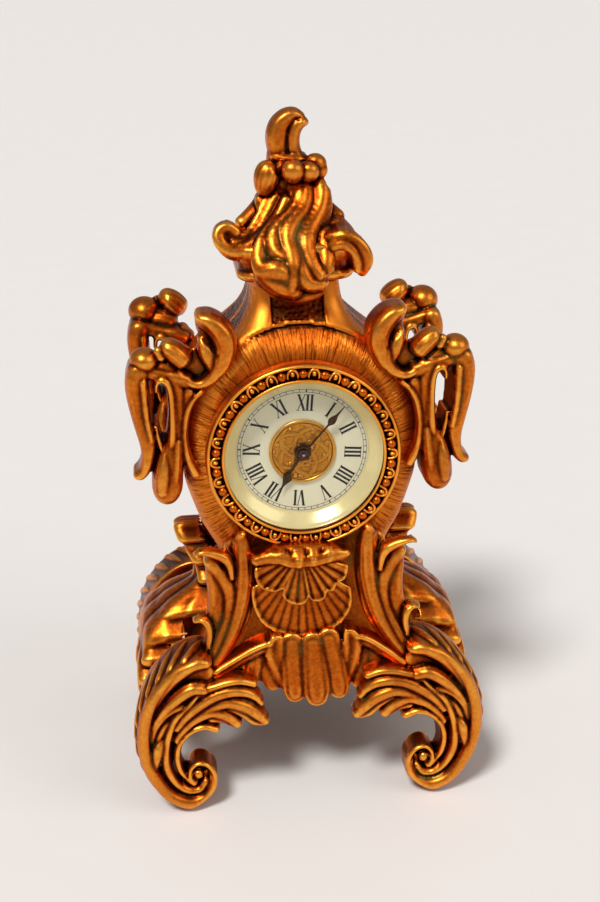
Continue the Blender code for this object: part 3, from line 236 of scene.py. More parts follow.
# The edge is drawn in to the outline, and rolls back by edgeDrop over edgeWidth.
def carved(laid, back, thick=None, step=0.38, blur=2, edgeWidth=0.6, edgeDrop=0.35):
    lines = [(smoothRows(rows, carving["spacing"]), bulge, flutes) for rows, bulge, flutes in laid]
    xs, zs, top, cover = strokeField(lines, step)
    inside, known = cover > 0, top > 0.9 * carving["unset"]
    cells = inside[:-1, :-1] | inside[1:, :-1] | inside[:-1, 1:] | inside[1:, 1:]
    cells &= known[:-1, :-1] & known[1:, :-1] & known[:-1, 1:] & known[1:, 1:]
    top = softened(top, known, blur)
    slopeZ, slopeX = np.gradient(cover, step)
    pull = np.where(cover < 0, -cover, 0) / np.maximum(np.hypot(slopeX, slopeZ), 0.5)
    placeX = xs[None, :] + pull * slopeX
    placeZ = zs[:, None] + pull * slopeZ
    used = np.zeros_like(inside)
    for dz in (0, 1):
        for dx in (0, 1):
            used[dz:cells.shape[0] + dz, dx:cells.shape[1] + dx] |= cells
    number = np.cumsum(used.ravel()).reshape(used.shape) - 1
    rounded = edgeDrop * (1 - np.sqrt(1 - (1 - np.clip(cover / edgeWidth, 0, 1)) ** 2))
    frontY = np.minimum(-(top - rounded)[used], back - carving["leastThick"])
    backY = np.full_like(frontY, back) if thick is None else np.minimum(frontY + thick, back)
    front = np.column_stack([placeX[used], frontY, placeZ[used]])
    rear = np.column_stack([placeX[used], np.maximum(backY, frontY + carving["leastThick"]), placeZ[used]])
    shift = len(front)
    zi, xi = np.nonzero(cells)
    corners = [number[zi, xi], number[zi, xi + 1], number[zi + 1, xi + 1], number[zi + 1, xi]]
    corners = np.column_stack(corners)
    faces = [tuple(row) for row in corners.tolist()]
    faces += [tuple(row) for row in (corners[:, ::-1] + shift).tolist()]
    padded = np.pad(cells, 1)
    # Walls: towards which neighbour a cell is open, and the two corners of that side.
    sides = (
        (-1, 0, (0, 0), (0, 1)),
        (1, 0, (1, 1), (1, 0)),
        (0, -1, (1, 0), (0, 0)),
        (0, 1, (0, 1), (1, 1)),
    )
    for dz, dx, first, second in sides:
        beside = padded[1 + dz:padded.shape[0] - 1 + dz, 1 + dx:padded.shape[1] - 1 + dx]
        zi, xi = np.nonzero(cells & ~beside)
        a, b = number[zi + first[0], xi + first[1]], number[zi + second[0], xi + second[1]]
        faces += [tuple(row) for row in np.column_stack([a, a + shift, b + shift, b]).tolist()]
    return np.vstack([front, rear]), faces


# Strokes for carved(), from a table of names to traced rows. All get one crown height per half width.
def strokes(viewName, table, depth, bulge, flutes=None, wider=1.0, shallower=1.0):
    made = []
    for name, rows in table.items():
        spots = [(x, y, half, lift * shallower) for x, y, half, lift in rows]
        laid = [(px, py, pz, half * wider) for px, py, pz, half in traced(viewName, spots, depth)]
        made.append((laid, bulge, (flutes or {}).get(name, 0)))
    return made


# A closed plate between a grid of front points and the same grid moved back.
def slab(front, back):
    front, back = np.array(front, float), np.array(back, float)
    rows, columns = front.shape[:2]
    verts = np.vstack([front.reshape(-1, 3), back.reshape(-1, 3)])
    shift = rows * columns
    faces = []
    for r in range(rows - 1):
        for c in range(columns - 1):
            a = r * columns + c
            faces.append((a, a + 1, a + columns + 1, a + columns))
            faces.append((shift + a, shift + a + columns, shift + a + columns + 1, shift + a + 1))
    rim = list(range(columns)) + [r * columns + columns - 1 for r in range(1, rows)]
    rim += [(rows - 1) * columns + c for c in range(columns - 2, -1, -1)]
    rim += [r * columns for r in range(rows - 2, 0, -1)]
    for place, a in enumerate(rim):
        b = rim[(place + 1) % len(rim)]
        faces.append((a, shift + a, shift + b, b))
    return verts, faces


# A round bar along Y, from mm y low to high, for bores.
def roundBar(centre, radius, low, high, steps=64):
    verts = []
    for y in (low, high):
        for k in range(steps):
            a = math.tau * k / steps
            verts.append((centre[0] + radius * math.cos(a), y, centre[2] + radius * math.sin(a)))
    faces = [(k, (k + 1) % steps, steps + (k + 1) % steps, steps + k) for k in range(steps)]
    faces += [tuple(reversed(range(steps))), tuple(range(steps, 2 * steps))]
    return np.array(verts), faces


def meshFrom(name, parts):
    verts, faces, shift = [], [], 0
    for partVerts, partFaces in parts:
        verts.append(np.array(partVerts, float) * mm)
        faces += [tuple(i + shift for i in face) for face in partFaces]
        shift += len(partVerts)
    mesh = bpy.data.meshes.new(name)
    mesh.from_pydata(np.vstack(verts).tolist(), [], faces)
    shape = bmesh.new()
    shape.from_mesh(mesh)
    bmesh.ops.remove_doubles(shape, verts=shape.verts, dist=1e-7)
    bmesh.ops.recalc_face_normals(shape, faces=shape.faces)
    shape.to_mesh(mesh)
    shape.free()
    return mesh


def newObject(name, mesh):
    made = bpy.data.objects.new(name, mesh)
    scene.collection.objects.link(made)
    return made


def newPiece(name, parts):
    return newObject(name, meshFrom(name, parts))


def shaded(made, smooth=True):
    for polygon in made.data.polygons:
        polygon.use_smooth = smooth
    return made


# The result of a piece's modifiers becomes its plain, smooth mesh.
def baked(made):
    source = made.data
    result = bpy.data.meshes.new_from_object(made.evaluated_get(bpy.context.evaluated_depsgraph_get()))
    made.modifiers.clear()
    made.data = result
    bpy.data.meshes.remove(source)
    result.name = made.name
    return shaded(made)


# Overlapping strands become one casting: a fine voxel skin, softened once.
def cast(name, parts, voxel):
    made = newPiece(name, parts)
    skin = made.modifiers.new("skin", "REMESH")
    skin.mode = "VOXEL"
    skin.voxel_size = voxel * mm
    smooth = made.modifiers.new("soften", "SMOOTH")
    smooth.factor = 0.5
    smooth.iterations = 1
    return baked(made)


# Height of each point over its near and its wider surroundings, kept for the finish, which paints shade into
# the hollows, a highlight onto the crests and patina by it. 0.5 is flat.
def markRelief(made, reach=6, gain=0.9):
    mesh = made.data
    count = len(mesh.vertices)
    points, normals = np.empty(count * 3), np.empty(count * 3)
    mesh.vertices.foreach_get("co", points)
    mesh.vertices.foreach_get("normal", normals)
    points, normals = points.reshape(-1, 3), normals.reshape(-1, 3)
    edges = np.empty(len(mesh.edges) * 2, int)
    mesh.edges.foreach_get("vertices", edges)
    edges = edges.reshape(-1, 2)
    degree = np.bincount(edges.ravel(), minlength=count)[:, None] + tiny
    soft = points.copy()
    total = np.zeros(count)
    wide = reach * 4
    for step in range(wide):
        summed = np.zeros_like(soft)
        for axis in range(3):
            summed[:, axis] = np.bincount(edges[:, 0], soft[edges[:, 1], axis], count)
            summed[:, axis] += np.bincount(edges[:, 1], soft[edges[:, 0], axis], count)
        soft = 0.4 * soft + 0.6 * summed / degree
        if step in (reach - 1, wide - 1):
            total += ((points - soft) * normals).sum(1) / mm
    relief = np.clip(0.5 + total * gain, 0, 1)
    layer = mesh.attributes.new("relief", "FLOAT", "POINT")
    layer.data.foreach_set("value", relief.astype(np.float32))
    return made


def mirrored(source, name, flipX, flipY):
    mesh = source.data.copy()
    mesh.name = name
    mesh.transform(Matrix.Diagonal((-1 if flipX else 1, -1 if flipY else 1, 1, 1)))
    if flipX != flipY:
        mesh.flip_normals()
    return newObject(name, mesh)


# The same shapes seen from behind: a copy mirrored about a plane.
def turnedOver(parts, plane):
    return [(np.array(verts) * [1, -1, 1] + [0, 2 * plane, 0], faces) for verts, faces in parts]


placeCamera()

# Legs: the scroll's rims and channel, the volute, leaf lobes and the strap above, all traced
# on the front left leg. Rows: x, y in the close view, half width and lift in mm.
legStrands = {
    "outerRim": [
        (478, 806, 1.4, 0.5), (430, 803, 1.6, 1.2), (340, 842, 1.7, 1.6), (252, 915, 1.8, 1.8),
        (186, 1005, 1.9, 2.0), (152, 1110, 2.0, 2.0), (150, 1225, 2.0, 2.0), (178, 1325, 1.9, 2.0),
        (230, 1405, 1.8, 2.0), (300, 1466, 1.9, 2.0), (390, 1490, 2.0, 2.0), (465, 1462, 1.1, 2.0),
        (508, 1410, 1.0, 2.1), (512, 1350, 0.9, 2.2), (478, 1308, 0.8, 2.3), (430, 1302, 0.7, 2.4),
        (395, 1330, 0.7, 2.4), (388, 1375, 0.7, 2.4), (410, 1398, 0.6, 2.4)],
    "middleRidge": [
        (455, 930, 0.9, 1.0), (390, 1010, 1.0, 1.5), (318, 1080, 1.1, 1.8), (278, 1165, 1.2, 2.0),
        (262, 1250, 1.2, 2.0), (272, 1330, 1.2, 1.8), (318, 1395, 1.1, 1.6), (380, 1430, 1.0, 1.2),
        (440, 1425, 0.8, 1.0), (470, 1390, 0.6, 0.8)],
    "innerRim": [
        (520, 1128, 1.3, 0.8), (460, 1118, 1.2, 1.4), (390, 1145, 1.1, 1.8), (338, 1200, 1.1, 1.9),
        (322, 1270, 1.1, 1.9), (340, 1335, 1.0, 1.9), (375, 1372, 0.8, 1.8)],
    "lobeA": [
        (465, 806, 1.7, 0.8), (400, 820, 1.9, 1.6), (320, 870, 1.8, 1.8), (250, 945, 1.4, 1.6),
        (205, 1020, 1.0, 1.4)],
    "lobeB": [
        (462, 936, 1.7, 0.8), (395, 938, 1.8, 1.6), (320, 985, 1.7, 1.8), (250, 1050, 1.4, 1.8),
        (200, 1120, 1.0, 1.6), (188, 1160, 0.7, 1.4)],
    "lobeC": [
        (350, 1020, 1.2, 0.8), (300, 1030, 1.4, 1.4), (245, 1070, 1.3, 1.6), (205, 1130, 1.0, 1.6),
        (188, 1190, 0.7, 1.4)],
    "lobeD": [(300, 1085, 0.9, 0.8), (262, 1110, 1.0, 1.2), (232, 1160, 0.9, 1.4), (215, 1210, 0.7, 1.4)],
    "drop": [(242, 1190, 1.2, 1.6), (222, 1230, 1.8, 2.2), (214, 1275, 1.5, 2.2), (205, 1325, 0.8, 1.8)],
    "leafTop": [
        (742, 1000, 1.0, 0.4), (700, 962, 1.3, 1.0), (620, 945, 1.5, 1.6), (530, 962, 1.6, 1.8),
        (450, 1005, 1.6, 1.8), (380, 1060, 1.4, 1.8), (320, 1125, 1.1, 1.6)],
    "leafTip": [
        (762, 1085, 1.4, 0.2), (722, 1055, 1.7, 0.8), (655, 1015, 1.8, 1.2), (570, 1000, 1.7, 1.4),
        (490, 1030, 1.5, 1.5), (420, 1075, 1.2, 1.4)],
    "leafTipLow": [
        (745, 1092, 1.2, 0.0), (700, 1085, 1.3, 0.4), (650, 1050, 1.3, 0.8), (590, 1025, 1.2, 1.0)],
    "leafMid": [
        (622, 1098, 1.6, 0.4), (575, 1060, 1.8, 1.0), (500, 1045, 1.7, 1.4), (425, 1075, 1.5, 1.6),
        (365, 1125, 1.2, 1.6), (320, 1190, 0.9, 1.5)],
    "leafMidLow": [(598, 1100, 1.0, 0.2), (550, 1078, 1.1, 0.6), (500, 1078, 1.0, 0.9)],
    "leafRoot": [
        (705, 905, 1.2, 0.2), (640, 893, 1.3, 0.6), (560, 905, 1.3, 0.9), (480, 935, 1.2, 1.0),
        (430, 965, 1.0, 1.0)],
}
scrollNames = ("outerRim", "middleRidge", "innerRim", "lobeA", "lobeB", "lobeC", "lobeD", "drop")
eyeSpot = (432, 1368, 1.9, 2.6)

# Channel floors behind the ridges: wide, nearly flat strokes from the strap to the foot and back.
legFloor = {
    "scroll": [
        (455, 860, 3.6, -0.9), (390, 880, 5.0, -0.9), (300, 950, 5.6, -0.9), (240, 1040, 6.4, -0.9),
        (208, 1130, 6.3, -0.9), (205, 1230, 5.7, -0.9), (232, 1330, 5.2, -0.9), (290, 1410, 4.4, -0.9),
        (380, 1448, 3.2, -0.9), (450, 1440, 2.4, -0.9), (492, 1390, 1.9, -0.9), (490, 1345, 1.6, -0.9)],
    "volute": [(436, 1372, 6.0, -2.4), (440, 1376, 6.0, -2.4)],
}
leafFloor = {
    "upper": [
        (330, 1130, 3.8, -0.8), (400, 1050, 4.2, -0.8), (500, 1000, 4.0, -0.8), (600, 985, 3.6, -0.8),
        (690, 1010, 2.8, -0.6), (738, 1050, 2.0, -0.4)],
    "lower": [
        (330, 1160, 2.4, -0.8), (400, 1105, 2.6, -0.8), (480, 1080, 2.6, -0.8), (560, 1060, 2.4, -0.6),
        (610, 1080, 1.6, -0.4)],
    "root": [(480, 930, 3.6, -1.2), (570, 930, 3.0, -1.2), (660, 925, 2.2, -1.2), (720, 960, 1.6, -1.2)],
}

# The strap that runs up from the scroll to the bezel, with its curled leaf edges.
strapStrokes = {
    "band": [
        (646, 196, 2.3, 0.6), (652, 262, 2.9, 1.2), (655, 340, 3.0, 1.5), (650, 430, 3.0, 1.8),
        (634, 520, 3.0, 2.4), (604, 620, 2.9, 3.6), (562, 712, 2.6, 5.2), (517, 790, 2.2, 6.8),
        (470, 862, 1.5, 8.2)],
    "ridge": [
        (486, 312, 1.8, 1.6), (524, 345, 2.1, 1.8), (562, 398, 2.2, 2.0), (588, 470, 2.0, 2.3),
        (584, 560, 1.9, 3.0), (556, 645, 1.8, 4.4), (520, 722, 1.7, 6.0), (486, 790, 1.5, 7.4),
        (455, 850, 1.2, 8.4)],
    "edge": [
        (690, 290, 0.9, 0.9), (699, 400, 1.0, 1.1), (694, 480, 1.0, 1.3), (675, 570, 1.1, 2.1),
        (641, 650, 1.1, 3.3), (592, 732, 1.1, 4.9), (532, 812, 1.0, 6.7), (472, 884, 0.9, 8.2)],
    "leafPlate": [
        (500, 300, 2.4, 0.4), (520, 380, 3.4, 0.4), (530, 480, 3.4, 0.8), (520, 580, 3.2, 2.0),
        (500, 680, 2.6, 3.6), (470, 760, 2.0, 5.6)],
    "leafFlute": [
        (500, 360, 1.1, 1.6), (512, 440, 1.4, 1.8), (516, 540, 1.4, 2.4), (508, 640, 1.2, 3.6),
        (492, 730, 0.9, 5.4)],
    "leafHook": [
        (416, 274, 0.5, 4.4), (440, 262, 0.9, 4.4), (474, 260, 1.3, 4.0), (520, 268, 1.7, 3.4),
        (562, 286, 1.8, 3.2), (587, 322, 1.5, 3.0), (598, 384, 1.0, 2.6)],
    "lowHook": [
        (416, 597, 0.8, 4.6), (450, 590, 1.2, 5.2), (479, 614, 1.4, 5.6), (489, 662, 1.3, 5.8),
        (482, 722, 1.0, 6.4)],
    "budTop": [(640, 176, 1.0, 1.6), (652, 172, 1.2, 1.8)],
}
strapFloor = {
    "core": [
        (625, 250, 4.6, -0.4), (628, 360, 6.0, -0.2), (612, 470, 6.2, 0.2), (590, 580, 5.6, 1.2),
        (548, 680, 4.8, 2.8), (504, 770, 4.0, 4.8), (462, 850, 3.2, 6.6)],
}

# Depths of the faces and backs. The volute is a thin curl, so its back is brought forward near the eye.
legCasting = {
    "face": -42.0, "back": -27.0, "leafBack": -37.2, "strap": -30.0, "strapBack": -24.2,
    "curlRadius": 12.0, "curlFade": 4.5, "curlBehind": -35.0, "curlForward": 8.0,
    "eyeFront": -41.6, "eyeDeep": 2.0, "skin": 0.38,
}
# Crown of each group of strokes, and how its edges roll back.
legStyle = {
    "floor": {"bulge": 0.04},
    "scroll": {"bulge": 1.05, "wider": 1.12, "shallower": 0.9},
    "leaf": {"bulge": 1.0, "wider": 1.18, "shallower": 0.9},
    "strapFloor": {"bulge": 0.05},
    "strap": {"bulge": 0.6, "flutes": {"band": 3}},
    "hook": {"bulge": 1.0},
}
legEdges = {
    "scroll": {"step": 0.3, "blur": 1, "edgeWidth": 1.5, "edgeDrop": 1.3},
    "leaf": {"step": 0.3, "blur": 1, "edgeWidth": 1.5, "edgeDrop": 1.5},
    "strap": {"thick": 5.0, "step": 0.3, "blur": 2, "edgeWidth": 1.3, "edgeDrop": 1.3},
    "hook": {"thick": 2.6, "step": 0.25, "blur": 1, "edgeWidth": 1.0, "edgeDrop": 1.0},
}
# Leaf tips that turn over the outer edge of the scroll.
# Rows: distance along the rim, out from its edge, y and half width.
legWraps = {
    "first": 1.0, "endShare": 0.72, "pitch": 5.6, "spacing": 0.8, "deep": 0.9, "crest": 0.2,
    "rows": [
        (9.0, -2.6, -42.3, 0.7), (7.6, -1.2, -42.5, 1.1), (6.2, -0.5, -41.2, 1.5), (4.6, -0.75, -38.6, 1.8),
        (2.8, -0.8, -35.2, 1.8), (1.0, -0.85, -31.6, 1.4), (-0.4, -0.9, -28.8, 0.8),
    ],
}
# The outermost relief is drawn in a little, to the size of the casting.
legLimit = {"outFrom": 34, "outOver": 26, "inwards": 1.25, "front": -40, "frontShare": 0.17}


def drawnIn(verts):
    verts = np.array(verts, float)
    share = np.clip((np.abs(verts[:, 0]) - legLimit["outFrom"]) / legLimit["outOver"], 0, 1)
    verts[:, 0] -= np.sign(verts[:, 0]) * legLimit["inwards"] * share * share * (3 - 2 * share)
    verts[:, 1] += np.maximum(legLimit["front"] - verts[:, 1], 0) * legLimit["frontShare"]
    return verts


def thinCurl(verts):
    eyeX, _, eyeZ, _ = traced("leg", [eyeSpot], legCasting["face"])[0]
    away = np.hypot(verts[:, 0] - eyeX, verts[:, 2] - eyeZ)
    near = np.clip((legCasting["curlRadius"] - away) / legCasting["curlFade"], 0, 1)
    forward = legCasting["curlForward"] * near * near * (3 - 2 * near)
    verts[:, 1] -= np.where(verts[:, 1] > legCasting["curlBehind"], forward, 0)
    return verts


def legWrapParts():
    rim = smoothRows(traced("leg", legStrands["outerRim"], legCasting["face"]), legWraps["spacing"])
    spots, half = rim[:, [0, 2]], rim[:, 3] * legStyle["scroll"]["wider"]
    run = np.gradient(spots, axis=0)
    run /= np.linalg.norm(run, axis=1)[:, None] + tiny
    outward = np.column_stack([-run[:, 1], run[:, 0]])
    outward *= np.sign(((spots - spots.mean(0)) * outward).sum(1))[:, None]
    travelled = np.concatenate([[0], np.cumsum(np.linalg.norm(np.diff(spots, axis=0), axis=1))])
    start = legWraps["first"]
    parts = []
    while start < travelled[-1] * legWraps["endShare"]:
        rows = []
        for along, off, y, size in legWraps["rows"]:
            at = [np.interp(start + along, travelled, column) for column in (*spots.T, half, *outward.T)]
            rows.append((at[0] + at[3] * (at[2] + off), y, at[1] + at[4] * (at[2] + off), size))
        parts.append(strand(rows, legWraps["deep"], legWraps["crest"]))
        start += legWraps["pitch"]
    return parts


def legParts():
    def laid(table, style, depth="face"):
        return strokes("leg", table, legCasting[depth], **legStyle[style])

    scroll = {name: rows for name, rows in legStrands.items() if name in scrollNames}
    leaf = {name: rows for name, rows in legStrands.items() if name not in scrollNames}
    hooks = {name: rows for name, rows in strapStrokes.items() if name.endswith("Hook")}
    flat = {name: rows for name, rows in strapStrokes.items() if name not in hooks}
    scrollStrokes = laid(legFloor, "floor") + laid(scroll, "scroll")
    leafStrokes = laid(leafFloor, "floor") + laid(leaf, "leaf")
    flatStrokes = laid(strapFloor, "strapFloor", "strap") + laid(flat, "strap", "strap")
    verts, faces = carved(scrollStrokes, legCasting["back"], **legEdges["scroll"])
    parts = [(thinCurl(verts), faces)]
    parts.append(carved(leafStrokes, legCasting["leafBack"], **legEdges["leaf"]))
    parts.append(carved(flatStrokes, legCasting["strapBack"], **legEdges["strap"]))
    parts.append(carved(laid(hooks, "hook", "strap"), legCasting["strapBack"], **legEdges["hook"]))
    parts += legWrapParts()
    eyeX, _, eyeZ, radius = traced("leg", [eyeSpot], legCasting["face"])[0]
    parts.append(ball((eyeX, legCasting["eyeFront"], eyeZ), (radius, legCasting["eyeDeep"], radius)))
    return [(drawnIn(verts), faces) for verts, faces in parts]


legFrontLeft = cast("legFrontLeftCast", legParts(), legCasting["skin"])
markRelief(legFrontLeft)
print("leg", len(legFrontLeft.data.polygons))
legCopies = (("FrontRight", True, False), ("BackLeft", False, True), ("BackRight", True, True))
for name, flipX, flipY in legCopies:
    mirrored(legFrontLeft, "leg" + name + "Cast", flipX, flipY)

# Handles, traced on the front left one and mirrored to the other corners. Only the front pair has a curl.
handleStrands = {
    "bar": [
        (116, 672, 3.5, 0.2), (108, 735, 3.7, 0.3), (116, 820, 3.7, 0.4), (130, 910, 3.4, 0.4),
        (146, 990, 3.1, 0.4), (170, 1080, 2.9, 0.4), (186, 1160, 2.6, 0.3), (184, 1240, 2.2, 0.2),
        (164, 1306, 2.0, 0.2), (134, 1344, 1.8, 0.2), (112, 1350, 1.3, 0.2)],
    "trunk": [
        (352, 720, 3.0, -0.2), (366, 800, 2.8, -0.2), (370, 900, 2.6, -0.2), (366, 1020, 2.6, -0.2),
        (354, 1130, 3.0, 0.0), (330, 1230, 4.4, 0.2), (314, 1340, 4.9, 0.4), (310, 1420, 4.9, 0.6),
        (308, 1452, 4.2, 0.6)],
    "trunkRidge": [
        (296, 1215, 1.0, 2.6), (290, 1290, 1.7, 3.4), (282, 1380, 2.0, 3.8), (284, 1450, 1.8, 3.6)],
    "trunkEdge": [
        (374, 1130, 1.0, 2.0), (366, 1230, 1.4, 2.6), (358, 1330, 1.6, 3.0), (350, 1420, 1.5, 2.9)],
    "slotRim": [
        (236, 800, 0.7, 1.6), (240, 752, 0.8, 1.9), (268, 726, 0.9, 2.1), (304, 742, 1.0, 2.2),
        (328, 820, 1.0, 2.2), (338, 940, 1.0, 2.2), (344, 1070, 1.0, 2.2), (340, 1150, 1.0, 2.1),
        (312, 1204, 1.0, 1.9), (276, 1178, 0.9, 1.7), (250, 1100, 0.8, 1.5), (236, 1030, 0.7, 1.3)],
    "barSpine": [
        (146, 740, 0.8, 3.0), (156, 830, 0.9, 3.2), (168, 930, 0.9, 3.0), (184, 1030, 0.8, 2.7),
        (204, 1120, 0.7, 2.3)],
    "barLeaf": [
        (74, 730, 0.8, 2.2), (82, 820, 0.9, 2.5), (98, 910, 0.9, 2.4), (118, 1000, 0.8, 2.1),
        (142, 1080, 0.6, 1.8)],
    "strapEdge": [
        (528, 800, 1.1, 0.4), (478, 850, 1.2, 0.5), (442, 930, 1.2, 0.6), (424, 1030, 1.2, 0.7),
        (424, 1130, 1.3, 0.8), (444, 1230, 1.5, 0.8), (482, 1310, 1.7, 0.8), (500, 1335, 1.5, 0.7)],
    "strapWeb": [
        (440, 800, 2.6, -0.8), (410, 900, 2.4, -0.8), (398, 1020, 1.8, -0.6), (400, 1130, 1.8, -0.6),
        (410, 1230, 1.4, -0.6)],
    "shoulder": [
        (160, 662, 2.6, -0.2), (220, 676, 2.5, -0.2), (290, 694, 2.7, -0.2), (360, 708, 3.0, -0.2),
        (430, 724, 2.6, -0.4)],
}
handleKnobs = {
    "knobRib": [(236, 500, 1.3, -0.6), (256, 548, 1.6, -0.2), (282, 596, 1.3, -0.2)],
    "bean": [
        (256, 496, 2.5, -2.2), (312, 506, 3.2, -1.9), (370, 544, 3.6, -1.6), (418, 592, 3.3, -1.6),
        (442, 618, 2.5, -1.8)],
    "beanTip": [(425, 520, 1.3, -2.2), (472, 544, 1.0, -2.4)],
    "knobNeck": [(170, 640, 2.6, -3.4), (240, 628, 3.2, -3.4), (320, 640, 3.4, -3.4), (400, 664, 2.8, -3.4)],
}
handleBall = (156, 590, 4.2, -2.2)
handleCurl = {
    "bigCurl": [
        (528, 318, 1.9, 1.4), (580, 336, 2.6, 1.8), (636, 378, 3.1, 2.0), (680, 440, 3.4, 2.1),
        (694, 510, 3.3, 2.1), (676, 590, 3.0, 2.0), (646, 660, 2.5, 1.8), (600, 712, 1.7, 1.5),
        (545, 746, 1.2, 1.3), (490, 752, 1.1, 1.2), (432, 728, 1.1, 1.0), (386, 690, 1.2, 0.8)],
    "innerCurl": [(528, 458, 1.2, 0.6), (552, 510, 2.0, 1.0), (584, 570, 2.3, 1.2), (612, 630, 1.9, 1.2)],
    "lipCurl": [(520, 320, 1.5, -1.2), (540, 380, 2.0, -1.4), (590, 440, 2.4, -1.2), (630, 500, 2.4, -0.8)],
}
handleBowl = {
    "floor": [
        (420, 660, 3.4, -4.2), (500, 690, 4.0, -4.4), (570, 670, 3.8, -4.2), (600, 590, 3.4, -3.8),
        (560, 500, 3.0, -3.6)],
    "back": [(400, 620, 3.6, -3.0), (460, 600, 3.6, -3.4), (520, 560, 3.4, -3.6)],
}
# The back pair has a stub where the curl would be, and fuller knobs that stand higher.
handleStub = [(400, 640, 2.6, -3.0), (460, 700, 2.2, -3.6), (520, 720, 1.8, -4.0)]
handleCasting = {
    "face": -28.2, "middle": -23.7, "curlMiddle": -25.4, "skin": 0.36,
    "knobDeep": 1.3, "deepKnobs": ("bean", "knobNeck"), "stubDeep": 1.2,
    "ballShares": (1.08, 1.25, 0.96), "rearFuller": 1.22, "rearRaised": 1.6,
    "barBulge": 0.85, "curlBulge": 0.8, "bowlBulge": 0.05,
}
handleEdges = {
    "bar": {"step": 0.28, "blur": 1, "edgeWidth": 1.4, "edgeDrop": 1.4},
    "curl": {"step": 0.28, "blur": 2, "edgeWidth": 2.0, "edgeDrop": 2.2},
}


def handleParts(withCurl):
    face, middle = handleCasting["face"], handleCasting["middle"]
    bars = strokes("leftHandle", handleStrands, face, handleCasting["barBulge"])
    parts = [carved(bars, middle, **handleEdges["bar"])]
    # Both faces carry the relief.
    parts += turnedOver(parts, middle)
    # The knobs are as deep as the casting and stand in its middle.
    fuller, raised = (1.0, 0.0) if withCurl else (handleCasting["rearFuller"], handleCasting["rearRaised"])
    for label, rows in handleKnobs.items():
        rows = [(x, y, z + raised, half * fuller) for x, y, z, half in traced("leftHandle", rows, face)]
        parts.append(strand(rows, handleCasting["knobDeep"] if label in handleCasting["deepKnobs"] else 1.0))
    x, y, z, radius = traced("leftHandle", [handleBall], face)[0]
    radii = [radius * fuller * share for share in handleCasting["ballShares"]]
    parts.append(ball((x, y, z + raised), radii))
    if not withCurl:
        stub = [strand(traced("leftHandle", handleStub, face), handleCasting["stubDeep"])]
        return parts + stub + turnedOver(stub, middle)
    curl = strokes("leftHandle", handleCurl, face, handleCasting["curlBulge"])
    curl += strokes("leftHandle", handleBowl, face, handleCasting["bowlBulge"])
    curled = [carved(curl, handleCasting["curlMiddle"], **handleEdges["curl"])]
    return parts + curled + turnedOver(curled, handleCasting["curlMiddle"])


handleFrontLeft = cast("handleFrontLeftCast", handleParts(True), handleCasting["skin"])
plainHandle = cast("plainHandle", handleParts(False), handleCasting["skin"])
for made in (handleFrontLeft, plainHandle):
    markRelief(made)
print("handle", len(handleFrontLeft.data.polygons))
mirrored(handleFrontLeft, "handleFrontRightCast", True, False)
mirrored(plainHandle, "handleBackLeftCast", False, True)
mirrored(plainHandle, "handleBackRightCast", True, True)
bpy.data.objects.remove(plainHandle, do_unlink=True)

